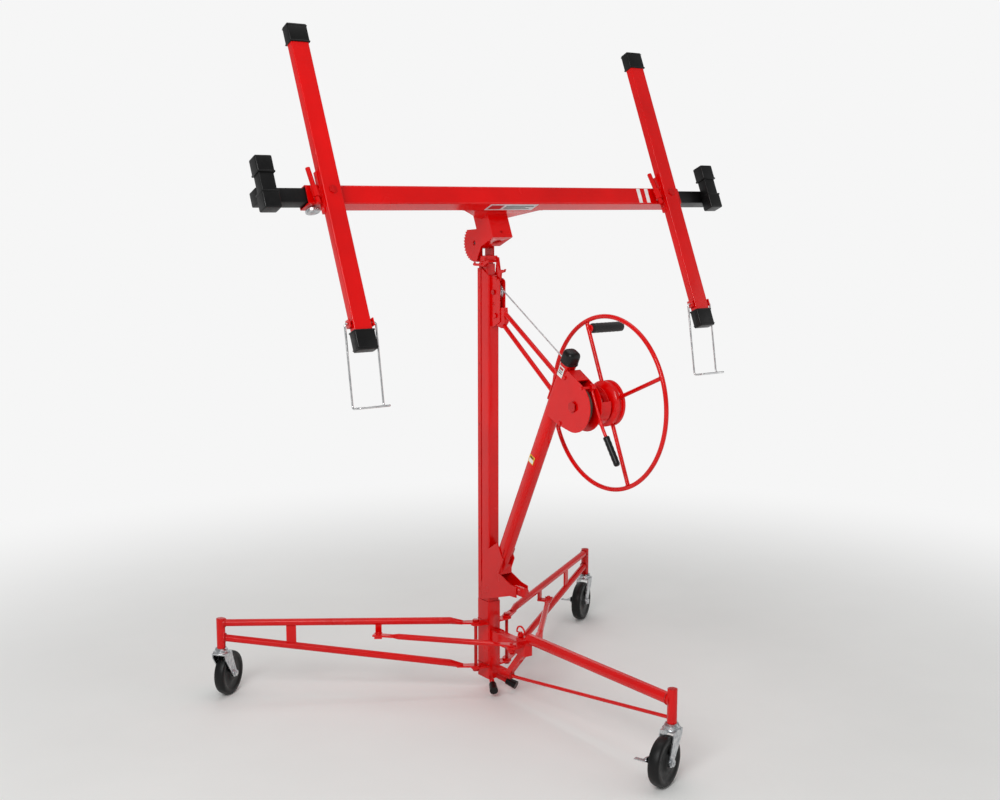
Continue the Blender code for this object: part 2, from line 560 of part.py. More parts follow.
def mast_spine():
    """The stiffener that wraps the outer section's rear corners."""
    inside, outside = MAST_W / 2 + GAP, SPINE_OUT
    rear, lap = MAST_REAR + GAP, MAST_REAR - 0.013
    outline = [(-outside, lap), (-outside, rear + SPINE_THICK), (outside, rear + SPINE_THICK), (outside, lap),
               (inside, lap), (inside, rear), (-inside, rear), (-inside, lap)]
    body = prism(lift, outline, "Z", HUB_TOP_Z + GAP, MAST_TOP_Z - 0.010)
    part("mast_spine", body, RED)


mast_spine()

stage = frame("middle_mast_frame", (0, 0, 0), parent=lift)
part("middle_mast",
     tube(stage, (-MIDDLE_W / 2, MIDDLE_FRONT), (MIDDLE_W / 2, MIDDLE_REAR), MIDDLE_WALL, "Z",
          MAST_LOW_Z + 0.012, MIDDLE_TOP_Z, 0.003),
     RED,
     [box(stage, (-0.006, MIDDLE_FRONT - CABLE_GAP + 0.0015, MAST_LOW_Z + 0.013),
          (0.006, MIDDLE_FRONT + 0.001, MAST_LOW_Z + 0.030))])

top_stage = frame("inner_mast_frame", (0, 0, 0), parent=stage)


def inner_mast():
    """The rising section, with the yoke whose ears carry the tilt bolt."""
    body = tube(top_stage, (-INNER_W / 2, INNER_FRONT), (INNER_W / 2, INNER_REAR), INNER_WALL, "Z",
                MAST_LOW_Z + 0.022, YOKE_LOW_Z + 0.009, 0.003)
    y, z = TILT_PIVOT
    ear_out = EAR_INSIDE + EAR_THICK
    front = MAST_FRONT + 0.014
    add = [box(top_stage, (-ear_out, front, YOKE_LOW_Z), (ear_out, y + EAR_R, YOKE_HIGH_Z))]
    ear = arc((y, z), EAR_R, 0, 180, 10) + [(y - EAR_R, YOKE_HIGH_Z - 0.002),
                                            (y + EAR_R, YOKE_HIGH_Z - 0.002)]
    for low, high in ((-ear_out, -EAR_INSIDE), (EAR_INSIDE, ear_out)):
        add.append(prism(top_stage, ear, "X", low, high))
    add.append(box(top_stage, (-0.009, front - 0.018, YOKE_LOW_Z),
                   (0.009, front + 0.002, YOKE_LOW_Z + 0.0055)))
    # lug and peg of the tilt latch, on the left
    py, pz = PAWL_AT
    add.append(box(top_stage, (-SOCKET_W / 2 + QUADRANT_THICK + GAP, py - 0.008, pz - 0.008),
                   (-ear_out + 0.001, py + 0.008, YOKE_HIGH_Z - 0.001)))
    add.append(rod(top_stage, (-ear_out - 0.002, py, pz), (-ear_out - 0.0155, py, pz), 0.003))
    cut = [rod(top_stage, (-0.04, y, z), (0.04, y, z), around(TILT_BOLT_R))]
    part("inner_mast", body, RED, add, cut)


inner_mast()

pulley_frame = frame("lift_pulley_axle", (0, PULLEY_Y, PULLEY_Z), parent=lift)
half = PULLEY_W / 2
part("lift_pulley",
     turned(pulley_frame, [(-half, PULLEY_R), (-half + 0.002, PULLEY_R), (-0.0015, GROOVE_R),
                           (0.0015, GROOVE_R),
                           (half - 0.002, PULLEY_R), (half, PULLEY_R), (half, 0.0043), (-half,
                                                                                        0.0043)], "X", (0, 0,
                                                                                                        0), 16),
     ZINC)
pieces = bolt(lift, "X", (0, PULLEY_Y, PULLEY_Z), -BRACKET_W / 2 - GAP, BRACKET_W / 2 + GAP, BRACKET_BOLT_R,
              head=0.004, nut=0.004)
part("pulley_bolt", pieces[0], ZINC, pieces[1:])


def mast_latch():
    """The sprung hook that holds the rising section down for carrying."""
    pivot = frame("mast_latch_pivot", (0, *LATCH_AT), (MAST_LATCH_OPEN, 0, 0), lift)
    catch_top = YOKE_LOW_Z + 0.0055 - LATCH_AT[1]
    catch_front = MAST_FRONT + 0.014 - 0.018 - LATCH_AT[0]
    outline = arc((0, 0), 0.0060, 200, 350, 5)
    outline += [(catch_front - 0.003, 0.020), (catch_front - 0.0015, catch_top + 0.0008),
                (catch_front + 0.007, catch_top + 0.0008),
                (catch_front + 0.004, catch_top + 0.006), (catch_front - 0.006, catch_top + 0.006),
                (0.004, 0.026), (-0.016, 0.030), (-0.021, 0.034), (-0.019, 0.025), (-0.004, 0.018)]
    body = prism(pivot, outline, "X", -0.003, 0.003)
    part("mast_latch", body, RED, [rod(pivot, (-0.0115, 0, 0), (0.0115, 0, 0), LATCH_PIN_R)])


mast_latch()


# ---- winch post --------------------------------------------------------------------------------
post = frame("winch_post_frame", (0, *POST_FOOT), (POST_LEAN, 0, 0), lift)


def winch_post():
    """The slanted post, and the two gusset plates that fix its foot to the mast above the hub."""
    w = POST_W / 2
    body = tube(post, (-w, -w), (w, w), 0.002, "Z", POST_START, POST_END, 0.010)
    z = HUB_TOP_Z + GAP
    outline = [(MAST_REAR - 0.016, z), (MAST_REAR - 0.016, z + 0.050), (MAST_FRONT - 0.004, z + 0.160),
               (MAST_FRONT - 0.045, z + 0.185), (MAST_FRONT - 0.072, z + 0.140), (MAST_FRONT - 0.052,
                                                                                  z + 0.098),
               (MAST_FRONT - 0.106, z + 0.078), (MAST_FRONT - 0.136, z + 0.074), (MAST_FRONT - 0.136,
                                                                                  z + 0.046),
               (MAST_FRONT - 0.106, z + 0.044), (MAST_FRONT - 0.030, z + 0.020)]
    inside = MAST_W / 2 + GAP
    add = []
    for low, high in ((-inside - GUSSET_THICK, -inside), (inside, inside + GUSSET_THICK)):
        add.append(prism(lift, outline, "X", low, high))
    add.append(box(lift, (-inside - 0.001, MAST_FRONT - 0.060, z + 0.095),
                   (inside + 0.001, MAST_FRONT - 0.016, z + 0.150)))
    add.append(rod(lift, (0, MAST_FRONT - 0.104, z + 0.060), (0, MAST_FRONT - 0.150, z + 0.060), 0.014, 16))
    add.append(box(lift, (-inside - 0.001, MAST_FRONT - 0.118, z + 0.050),
                   (inside + 0.001, MAST_FRONT - 0.100, z + 0.070)))
    part("winch_post", body, RED, add)


winch_post()
w = POST_W / 2
part("post_cap", tube(post, (-w - 0.003, -w - 0.003), (w + 0.003, w + 0.003), 0.0027, "Z",
                      POST_END - CAP_LONG, POST_END + GAP, 0.0135),
     BLACK_RUBBER,
     [prism(post, rounded((-w - 0.003, -w - 0.003), (w + 0.003, w + 0.003), 0.0135), "Z", POST_END + GAP,
            POST_END + 0.006)])


def on_post(along, across):
    """A point on the post's middle plane: along its axis, and across it towards the mast."""
    lean = radians(POST_LEAN)
    return Vector((0, POST_FOOT[0] - along * sin(lean) + across * cos(lean),
                   POST_FOOT[1] + along * cos(lean) + across * sin(lean)))


def post_brace():
    """The two parallel stays between the mast bracket and the post, with their end plates."""
    low = BRACKET_LOW_Z
    plate = [(MAST_FRONT - 0.006, low + 0.052), (MAST_FRONT - 0.006, low + 0.008),
             (MAST_FRONT - 0.046, low - 0.002),
             (MAST_FRONT - 0.062, low + 0.016), (MAST_FRONT - 0.056, low + 0.056)]
    thin = BRACKET_W / 2 - BRACKET_WALL - GAP
    body = prism(lift, plate, "X", -thin, thin)
    rear = POST_W / 2 + GAP
    ends = [on_post(0.722, rear), on_post(0.672, rear)]
    starts = [Vector((0, MAST_FRONT - 0.048, low + 0.044)), Vector((0, MAST_FRONT - 0.040, low + 0.012))]
    face = on_post(0, 1) - on_post(0, 0)  # square to the post, towards the mast
    add = []
    for start, end in zip(starts, ends):
        way = (end - start).normalized()
        square = -way.dot(face)
        back = (0.001 + BRACE_R * (1 - square ** 2) ** 0.5) / square  # keeps the stay's slanted end off the post
        add.append(rod(lift, start, end - way * back, BRACE_R, 12))
    add.append(box(post, (-0.014, rear, 0.655), (0.014, rear + 0.004, 0.742)))
    add += bolt(lift, "X", (0, *BRACE_BOLT_AT), -BRACKET_W / 2 - GAP, BRACKET_W / 2 + GAP, BRACKET_BOLT_R,
                head=0.004, nut=0.004)
    part("post_brace", body, RED, add)


post_brace()

# ---- winch -------------------------------------------------------------------------------------
winch = frame("winch_frame", (0, *WINCH_AXIS), parent=lift)
spin = frame("winch_shaft_axis", (0, *WINCH_AXIS), parent=lift)
HOUSING_IN = POST_W / 2 + GAP
HOUSING_OUT = HOUSING_IN + HOUSING_WALL
LEVER_PIN = (-0.035, 0.052)


def winch_housing():
    """Two teardrop side plates that clasp the post, joined by a bent top cover and the lever's pin."""
    outline = [(0.112, -0.035), (0.072, 0.050), (0.024, 0.092)] + arc((0, 0), HOUSING_R, 118, 285,
                                                                      14) + [(0.064, -0.055)]
    body = prism(winch, outline, "X", -HOUSING_OUT, -HOUSING_IN)
    cover = [(0.024, 0.092), (-0.014, 0.0702), (-0.013, 0.0674), (0.024, 0.0885)]
    add = [prism(winch, outline, "X", HOUSING_IN, HOUSING_OUT),
           prism(winch, cover, "X", -HOUSING_OUT + 0.0005, HOUSING_OUT - 0.0005),
           rod(winch, (-HOUSING_OUT - 0.003, *LEVER_PIN), (HOUSING_OUT + 0.001, *LEVER_PIN), 0.004)]
    for y, z in ((0.040, 0.0725), (0.060, -0.050)):
        add += bolt(winch, "X", (0, y - 0.004, z), -HOUSING_OUT - GAP, HOUSING_OUT + 0.001, 0.003, head=0.003)
    cut = [rod(winch, (-0.05, 0, 0), (0.05, 0, 0), SHAFT_R + GAP, 16)]
    part("winch_housing", body, RED, add, cut)


winch_housing()
shaft_end = WHEEL_HUB_TO + 0.006
pieces = bolt(spin, "X", (0, 0, 0), -HOUSING_OUT - 0.002, shaft_end - 0.004, SHAFT_R, head=0.004, nut=0.006)
part("winch_shaft", pieces[0], ZINC, pieces[1:])
bore = SHAFT_R + GAP
part("brake_drum",
     turned(spin, [(-0.014, BRAKE_DRUM_R), (0.003, BRAKE_DRUM_R), (0.003, 0.016), (0.0165, 0.014),
                   (0.0165, bore),
                   (-0.0165, bore), (-0.0165, 0.014), (-0.014, 0.016)], "X", (0, 0, 0), 20), BLACK_PAINT)


def brake_lever():
    """The brake's hand lever on its pin inside the housing, and the grip on its end."""
    lever = frame("brake_lever_pivot", (0, WINCH_AXIS[0] + LEVER_PIN[0], WINCH_AXIS[1] + LEVER_PIN[1]),
                  parent=lift)
    x = 0.0112
    knee, end = Vector((x, -0.040, -0.092)), Vector((x + 0.004, -0.100, -0.187))
    body = turned(lever, [(x - 0.006, 0.010), (x + 0.006, 0.010), (x + 0.006, 0.004 + GAP),
                          (x - 0.006, 0.004 + GAP)],
                  "X", (0, 0, 0), 16)
    start = Vector((x, -0.0028, -0.0070))
    points = round_the_bend([start, knee, end], 0.02)
    part("brake_lever", body, RED, [wire(lever, points, 0.0045)])
    way = (end - knee).normalized()
    grip_start = end - way * 0.078
    sleeve = rod(lever, grip_start, end + way * 0.004, 0.0085, 12)
    part("lever_grip", sleeve, BLACK_RUBBER, cut=[rod(lever, grip_start - way * 0.01, end + way * GAP,
                                                      0.0045 + GAP + 0.0002)])


brake_lever()
part("cable_drum",
     turned(spin, [(DRUM_FROM, DRUM_FLANGE_R), (DRUM_FROM + 0.0025, DRUM_FLANGE_R),
                   (DRUM_FROM + 0.0025, DRUM_CORE_R),
                   (DRUM_TO - 0.0025, DRUM_CORE_R), (DRUM_TO - 0.0025, DRUM_FLANGE_R), (DRUM_TO,
                                                                                        DRUM_FLANGE_R),
                   (DRUM_TO, bore), (DRUM_FROM, bore)], "X", (0, 0, 0), 20), RED)


def drum_guard():
    """The sheet-metal ring round the cable drum, open towards the mast where the cable comes in."""
    start, end = HOUSING_OUT + GAP, DRUM_TO + 0.0015
    web = start + 0.0095
    inside = GUARD_R - GUARD_WALL
    body = turned(winch, [(start, 0.034), (web, 0.034), (web, GUARD_R), (end, GUARD_R), (end, inside),
                          (web + 0.0025, inside),
                          (web + 0.0025, 0.011), (start, 0.011)], "X", (0, 0, 0), 20)
    mouth = [(0, 0)] + arc((0, 0), 0.08, 60, 165, 6)
    part("drum_guard", body, RED, cut=[prism(winch, mouth, "X", web + 0.0026, end + 0.01)])


drum_guard()


def hand_wheel():
    """The wheel: round rim, four spokes, pressed hub and the peg of its handle."""
    f, t, r = WHEEL_HUB_FROM, WHEEL_HUB_TO, WHEEL_HUB_R
    profile = [(f, 0.030), (f, bore), (t, bore), (t, 0.024), (t - 0.005, 0.044), (t - 0.016, r),
               (f + 0.012, r), (f + 0.003, 0.046)]
    body = turned(spin, profile, "X", (0, 0, 0), 24)
    rim = [(RIM_X, y, z) for y, z in arc((0, 0), RIM_R, 0, 360, 40)[:-1]]
    add = [wire(spin, rim, RIM_WIRE_R, 6, closed=True)]
    for i in range(4):
        angle = radians(SPOKE_ANGLE + 90 * i)
        out = Vector((0, cos(angle), sin(angle)))
        middle = Vector((RIM_X, 0, 0))
        add.append(rod(spin, middle + out * (r - 0.012), middle + out * (RIM_R - 0.002), SPOKE_R, 8))
    angle = radians(SPOKE_ANGLE)
    y, z = HANDLE_AT * cos(angle), HANDLE_AT * sin(angle)
    add.append(rod(spin, (RIM_X - 0.003, y, z), (RIM_X + 0.014 + GRIP_LONG, y, z), 0.005))
    add.append(rod(spin, (RIM_X + 0.003, y, z), (RIM_X + 0.009, y, z), 0.010))
    part("hand_wheel", body, RED, add)
    handle = frame("wheel_handle_axis", (0, WINCH_AXIS[0] + y, WINCH_AXIS[1] + z), parent=lift)
    start = RIM_X + 0.009 + GAP
    profile = [(start, 0.0105), (start + 0.003, GRIP_R), (start + GRIP_LONG - 0.006, GRIP_R),
               (start + GRIP_LONG, 0.0095),
               (start + GRIP_LONG, 0.0053), (start, 0.0053)]
    part("handle_grip", turned(handle, profile, "X", (0, 0, 0), 14), FOAM)


hand_wheel()


def tangent_way():
    """The unit normal of the cable's straight run, on its upper side, between the drum and the pulley."""
    drum, pulley = DRUM_CORE_R + CABLE_R, GROOVE_R + CABLE_R
    run = Vector((PULLEY_Y - WINCH_AXIS[0], PULLEY_Z - WINCH_AXIS[1]))
    angle = atan2(run.y, run.x) + pi / 2 - asin((pulley - drum) / run.length)
    return angle, drum + GAP, pulley + 2 * GAP


def lift_cable():
    """The cable from the drum over the lift pulley and down inside the mast to the middle section."""
    angle, drum, pulley = tangent_way()
    start_x = (DRUM_FROM + DRUM_TO) / 2
    points = []
    first = Vector((start_x, WINCH_AXIS[0] + drum * cos(angle), WINCH_AXIS[1] + drum * sin(angle)))
    last = Vector((0, PULLEY_Y + pulley * cos(angle), PULLEY_Z + pulley * sin(angle)))
    for i in range(7):
        points.append(first.lerp(last, i / 6))
    for i in range(1, 8):
        turn = angle * (1 - i / 7)
        points.append(Vector((0, PULLEY_Y + pulley * cos(turn), PULLEY_Z + pulley * sin(turn))))
    down = points[-1].copy()
    low = MAST_LOW_Z + 0.030 + GAP
    for i in range(1, 5):
        points.append(Vector((0, down.y, down.z + (low - down.z) * i / 4)))
    curve = bpy.data.curves.new("lift_cable", "CURVE")
    curve.dimensions = "3D"
    curve.bevel_depth = CABLE_R
    curve.bevel_resolution = 2
    curve.use_fill_caps = True
    spline = curve.splines.new("POLY")
    spline.points.add(len(points) - 1)
    for slot, point in zip(spline.points, points):
        slot.co = (*point, 1.0)
    curve.materials.append(CABLE_STEEL)
    cable = bpy.data.objects.new("lift_cable", curve)
    cable.parent = lift
    bpy.context.scene.collection.objects.link(cable)


lift_cable()

# ---- cradle ------------------------------------------------------------------------------------
# In this frame +Y runs up along the arms and +Z stands out of the panel's plane.
cradle = frame("cradle_tilt", (0, *TILT_PIVOT), (TILT_ANGLE, 0, 0), top_stage)
BAR_Y, BAR_Z = BAR_AT
BAR_TOP = BAR_Z + BAR_W / 2
ARM_LOW_Z = BAR_TOP + GAP + SADDLE_THICK + GAP


def crossbar():
    """The bar with its trapezium gusset, centre socket, tilt knuckle, notched quadrant and lock sleeves."""
    b = BAR_W / 2
    body = tube(cradle, (BAR_Y - b, BAR_Z - b), (BAR_Y + b, BAR_Z + b), BAR_WALL, "X", -BAR_HALF, BAR_HALF)
    low_y = BAR_Y - 0.090
    s = SOCKET_W / 2
    under = BAR_Z - b
    # the socket runs parallel to the arms, below the bar
    add = [box(cradle, (-s, low_y, SOCKET_TOP - SOCKET_W), (s, low_y + SOCKET_LONG, SOCKET_TOP))]
    gusset = [(-0.135, under + 0.001), (0.135, under + 0.001), (0.046, SOCKET_TOP - 0.030),
              (-0.046, SOCKET_TOP - 0.030)]
    for y in (BAR_Y - 0.022, BAR_Y + 0.018):
        add.append(prism(cradle, [(z, x) for x, z in gusset], "Y", y, y + 0.004))
    add.append(box(cradle, (-0.030, BAR_Y - 0.020, SOCKET_TOP - 0.002),
                   (0.030, BAR_Y + 0.020, under + 0.001)))
    knuckle = arc((0, 0), 0.0165, 180, 360, 8) + [(0.0165, SOCKET_TOP - SOCKET_W + 0.001),
                                                  (-0.0165, SOCKET_TOP - SOCKET_W + 0.001)]
    k = EAR_INSIDE - 2 * GAP
    add.append(prism(cradle, knuckle, "X", -k, k))
    quadrant = [(0.030, 0.030), (-0.020, 0.030)] + arc((0, 0), QUADRANT_R, 192, 196, 1)
    for i in range(NOTCHES):
        middle = 270 - TILT_ANGLE + i * NOTCH_PITCH
        quadrant += arc((0, 0), QUADRANT_R, middle - 3.2, middle - 3.2, 1)[:1]
        quadrant += arc((0, 0), QUADRANT_R - NOTCH_DEEP, middle - 2.2, middle + 2.2, 1)
        quadrant += arc((0, 0), QUADRANT_R, middle + 3.2, middle + 3.2, 1)[:1]
    add.append(prism(cradle, quadrant, "X", -s, -s + QUADRANT_THICK))
    cut = [rod(cradle, (-0.05, 0, 0), (0.05, 0, 0), around(TILT_BOLT_R)),
           rod(cradle, (0, low_y - 0.01, SOCKET_TOP - s), (0, low_y + 0.060, SOCKET_TOP - s), 0.013, 16),
           rod(cradle, (0, low_y + 0.016, SOCKET_TOP - 0.02), (0, low_y + 0.016, SOCKET_TOP + 0.01), 0.0045)]
    for side in (-1, 1):
        x = side * ARM_AT
        cut.append(rod(cradle, (x, BAR_Y, BAR_Z), (x, BAR_Y, BAR_TOP + 0.01), around(ARM_PIN_R)))
        x = side * KNOB_AT
        cut.append(rod(cradle, (x, BAR_Y - b - 0.01, BAR_Z), (x, BAR_Y - b + 0.01, BAR_Z), around(0.004)))
    part("crossbar", body, RED, add, cut)


crossbar()
ear_out = EAR_INSIDE + EAR_THICK
pieces = bolt(cradle, "X", (0, 0, 0), -ear_out - GAP, ear_out + GAP, TILT_BOLT_R, head=0.005, nut=0.006)
part("tilt_bolt", pieces[0], ZINC, pieces[1:])


def tilt_latch():
    """The pawl that drops into a notch of the quadrant, with a thumb tail towards the operator."""
    y, z = PAWL_AT
    pawl = frame("tilt_latch_pivot", (0, y, z), parent=top_stage)
    x = SOCKET_W / 2
    tooth, top = TILT_PIVOT[0] - y, TILT_PIVOT[1] - QUADRANT_R - z - LATCH_CLEAR
    outline = [(tooth + 0.006, -0.004), (tooth + 0.006, 0.001), (tooth + 0.0022, 0.001),
               (tooth + 0.0013, top),
               (tooth - 0.0013, top), (tooth - 0.0022, 0.001), (0.012, 0.001), (0.006, 0.006), (-0.010,
                                                                                                0.006),
               (-0.034, 0.012), (-0.037, 0.007), (-0.010, -0.006), (tooth, -0.006)]
    part("tilt_latch", prism(pawl, outline, "X", -x, -x + QUADRANT_THICK), RED,
         [rod(pawl, (-x + 0.0005, 0, 0), (-x + QUADRANT_THICK - 0.0005, 0, 0), 0.0075)],
         [rod(pawl, (-0.05, 0, 0), (0.0, 0, 0), around(0.003))])


tilt_latch()


def arm(word, side):
    """An arm with its saddle, end caps, pivot pin, lock pin, hook, outrigger and knob."""
    pivot = frame(f"{word}_arm_pivot", (side * ARM_AT, BAR_Y, 0), parent=cradle)
    w = ARM_W / 2
    z0, z1 = ARM_LOW_Z, ARM_LOW_Z + ARM_DEEP
    body = tube(pivot, (z0, -w), (z1, w), ARM_WALL, "Y", ARM_LOW, ARM_HIGH, 0.003)
    lip = w + 0.0002
    saddle_z = BAR_TOP + GAP + 0.0002
    add = [box(pivot, (-lip - SADDLE_THICK, -SADDLE_LONG / 2, saddle_z), (lip + SADDLE_THICK, SADDLE_LONG / 2,
                                                                          z0 + 0.0008))]
    for s in (-1, 1):
        x = s * (lip - 0.001), s * (lip + SADDLE_THICK)
        add.append(box(pivot, (min(x), -SADDLE_LONG / 2, saddle_z),
                       (max(x), SADDLE_LONG / 2, saddle_z + SADDLE_LIP)))
        x = s * (w - 0.001), s * (w + 0.009)
        add.append(box(pivot, (min(x), HOOK_AT - 0.010, z0 + 0.003), (max(x), HOOK_AT + 0.010, z0 + 0.006)))
        x = s * (w + 0.006), s * (w + 0.009)
        add.append(box(pivot, (min(x), HOOK_AT - 0.010, z0 + 0.003), (max(x), HOOK_AT + 0.010, z1 - 0.002)))
    way = Vector((0, cos(radians(LOCK_TILT)), -sin(radians(LOCK_TILT))))
    lock = Vector((-LOCK_SIDE, LOCK_UP, BAR_TOP + LOCK_RISE))
    add.append(rod(pivot, lock - way * 0.034, lock - way * 0.003, LOCK_R + 0.0035))
    add.append(box(pivot, (-LOCK_SIDE, -0.014, lock.z), (-lip - 0.001, 0.010, lock.z + 0.004)))
    hook_z = z0 + 0.014
    cut = [rod(pivot, (0, 0, z0 - 0.02), (0, 0, z1 + 0.02), around(ARM_PIN_R)),
           rod(pivot, lock - way * 0.05, lock + way * 0.05, around(LOCK_R)),
           rod(pivot, (-w - 0.03, HOOK_AT, hook_z), (w + 0.03, HOOK_AT, hook_z), around(HOOK_WIRE_R))]
    part(f"{word}_arm", body, RED, add, cut)
    pieces = bolt(pivot, "Z", (0, 0, 0), BAR_Z + 0.021, z1 + GAP, ARM_PIN_R, nut=0.003)
    part(f"{word}_arm_pin", pieces[0], ZINC, pieces[1:])
    for end, place, outward in (("lower", ARM_LOW, -1), ("upper", ARM_HIGH, 1)):
        t = CAP_WALL
        near, far = place - outward * CAP_GRIP, place + outward * GAP
        shell = tube(pivot, (z0 - GAP - t, -w - GAP - t), (z1 + GAP + t, w + GAP + t), t, "Y", min(near, far),
                     max(near, far), 0.004)
        plug = prism(pivot, rounded((z0 - GAP - t, -w - GAP - t), (z1 + GAP + t, w + GAP + t), 0.004), "Y",
                     min(far, far + outward * 0.006), max(far, far + outward * 0.006))
        part(f"{word}_arm_{end}_cap", shell, BLACK_RUBBER, [plug])
    hook = frame(f"{word}_hook_pivot", (side * ARM_AT, BAR_Y + HOOK_AT, hook_z), parent=cradle)
    tilt = radians(HOOK_TILT)
    down = Vector((0, -cos(tilt), -sin(tilt)))
    ahead = Vector((0, -sin(tilt), cos(tilt)))
    out = w + 0.018
    points = [Vector((-w - 0.004, 0, 0)), Vector((-out, 0, 0)), Vector((-out, 0, 0)) + down * HOOK_DROP,
              Vector((-out, 0, 0)) + down * HOOK_DROP + ahead * 0.034, Vector((out, 0,
                                                                               0)) + down * HOOK_DROP + ahead * 0.034,
              Vector((out, 0, 0)) + down * HOOK_DROP, Vector((out, 0, 0)), Vector((w + 0.004, 0, 0))]
    part(f"{word}_hook", wire(hook, round_the_bend(points, 0.008, 2), HOOK_WIRE_R, 6), ZINC)
    # lock pin beside the arm
    pin = rod(pivot, lock - way * LOCK_LONG / 2, lock + way * LOCK_LONG / 2, LOCK_R)
    part(f"{word}_arm_lock", pin, RED)
    # outrigger in the end of the crossbar
    o = OUTRIGGER_W / 2
    x_in, x_out = side * OUTRIGGER_IN, side * OUTRIGGER_OUT
    slide = tube(cradle, (BAR_Y - o, BAR_Z - o), (BAR_Y + o, BAR_Z + o), OUTRIGGER_WALL, "X",
                 min(x_in, x_out), max(x_in, x_out), 0.003)
    pad_z1 = z1
    pad_z0 = pad_z1 - 0.032
    y0, y1 = BAR_Y + PAD_CENTRE - PAD_LONG / 2, BAR_Y + PAD_CENTRE + PAD_LONG / 2
    x = side * PAD_AT
    p = PAD_W / 2
    pad = box(cradle, (x - p, y0, pad_z0), (x + p, y1, pad_z1))
    neck = box(cradle, (x - p + 0.002, BAR_Y - o + 0.004, BAR_Z + o - 0.001),
               (x + p - 0.002, BAR_Y + o - 0.004, pad_z0 + 0.001))
    caps = [box(cradle, (x - p - 0.003, a, pad_z0 - 0.003), (x + p + 0.003, b, pad_z1 + 0.003))
            for a, b in ((y0 - 0.003, y0 + 0.042), (y1 - 0.042, y1 + 0.003))]
    part(f"{word}_outrigger", slide, BLACK_PAINT, [neck, pad] + caps)
    face = BAR_Y - BAR_W / 2 - GAP
    knob = rod(cradle, (side * KNOB_AT, face - 0.006, BAR_Z), (side * KNOB_AT, face - 0.006 - KNOB_THICK,
                                                               BAR_Z), KNOB_R, 20)
    screw = rod(cradle, (side * KNOB_AT, face - 0.007, BAR_Z), (side * KNOB_AT, BAR_Y - o - GAP, BAR_Z),
                0.004, 12)
    neck = rod(cradle, (side * KNOB_AT, face - 0.007, BAR_Z), (side * KNOB_AT, face - 0.0005, BAR_Z), 0.009,
               12)
    part(f"{word}_knob", knob, ZINC, [neck, screw])


arm("left", -1)
arm("right", 1)
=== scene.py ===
"""Drywall lift: red enamelled steel on three casters, with a hand-wheel winch and a tilting cradle.

Metres, +Z up. The crossbar runs along X and the operator stands at -Y. The floor is z = 0.
"""

import json
from math import asin, atan2, cos, pi, radians, sin

import bmesh
import bpy
from mathutils import Matrix, Vector

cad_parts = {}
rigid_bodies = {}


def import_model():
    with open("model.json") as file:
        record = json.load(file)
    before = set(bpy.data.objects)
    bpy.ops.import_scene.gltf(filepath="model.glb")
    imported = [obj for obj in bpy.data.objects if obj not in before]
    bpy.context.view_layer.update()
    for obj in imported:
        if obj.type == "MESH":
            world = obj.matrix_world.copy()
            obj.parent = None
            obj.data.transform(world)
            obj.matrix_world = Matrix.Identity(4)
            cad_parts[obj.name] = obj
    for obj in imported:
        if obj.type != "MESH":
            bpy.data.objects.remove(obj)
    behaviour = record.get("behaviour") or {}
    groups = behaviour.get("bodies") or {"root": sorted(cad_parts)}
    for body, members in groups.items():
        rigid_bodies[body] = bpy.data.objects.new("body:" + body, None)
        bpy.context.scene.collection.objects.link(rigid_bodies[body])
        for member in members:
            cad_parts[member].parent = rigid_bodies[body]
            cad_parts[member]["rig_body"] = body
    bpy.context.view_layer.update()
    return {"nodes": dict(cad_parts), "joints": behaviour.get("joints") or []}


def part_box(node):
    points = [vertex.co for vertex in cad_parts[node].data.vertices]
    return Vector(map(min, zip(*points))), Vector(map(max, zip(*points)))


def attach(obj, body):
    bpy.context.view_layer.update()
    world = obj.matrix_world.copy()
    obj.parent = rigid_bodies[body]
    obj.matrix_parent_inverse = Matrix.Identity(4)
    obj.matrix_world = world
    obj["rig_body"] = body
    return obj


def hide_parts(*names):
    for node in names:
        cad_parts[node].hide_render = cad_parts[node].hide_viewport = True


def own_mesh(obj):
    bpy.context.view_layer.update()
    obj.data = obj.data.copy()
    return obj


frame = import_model()
JOINT_AT = {joint["name"]: Vector(joint["pos_m"]) for joint in frame["joints"] if "pos_m" in joint}
HINGES_AHEAD = 0.015  # the leg hinges stand this far in front of the mast's middle
MAST_Y = JOINT_AT["left_leg_fold"].y + HINGES_AHEAD


def shown(name, data):
    """An object of that mesh, lamp or camera, put in the scene."""
    obj = bpy.data.objects.new(name, data)
    bpy.context.scene.collection.objects.link(obj)
    return obj


# ---- view --------------------------------------------------------------------------------------
LENS_MM, CAMERA_AT, CAMERA_DOWN, CAMERA_RIGHT = 47.8, (-2.1465, -2.8794, 1.403), 8.32, 35.47
camera = shown("camera", bpy.data.cameras.new("camera"))
camera.data.lens = LENS_MM
camera.location = CAMERA_AT
camera.rotation_euler = (radians(90 - CAMERA_DOWN), 0.0, radians(-CAMERA_RIGHT))
bpy.context.scene.camera = camera
bpy.context.scene.view_settings.view_transform = "Standard"  # keeps the enamel's red as strong as it is


# ---- finishes ----------------------------------------------------------------------------------
def linear(hex_colour):
    """An sRGB hex colour as linear RGBA."""
    parts = [int(hex_colour[i:i + 2], 16) / 255 for i in (1, 3, 5)]
    return (*[c / 12.92 if c <= 0.04045 else ((c + 0.055) / 1.055) ** 2.4 for c in parts], 1.0)


def add_node(tree, kind, inputs=None, **settings):
    """A node with its settings; each input is a number, a colour, or another node's socket."""
    node = tree.nodes.new(kind)
    for name, value in settings.items():
        setattr(node, name, value)
    for name, value in (inputs or {}).items():
        if isinstance(value, bpy.types.NodeSocket):
            tree.links.new(value, node.inputs[name])
        else:
            node.inputs[name].default_value = value
    return node


RAMP_STOPS = (0.32, 0.68)  # the noise hardly leaves this range, so the ramp spends its two colours inside it
GLOSS_PATCHES = 2.3  # patches of gloss are finer than patches of colour by this much


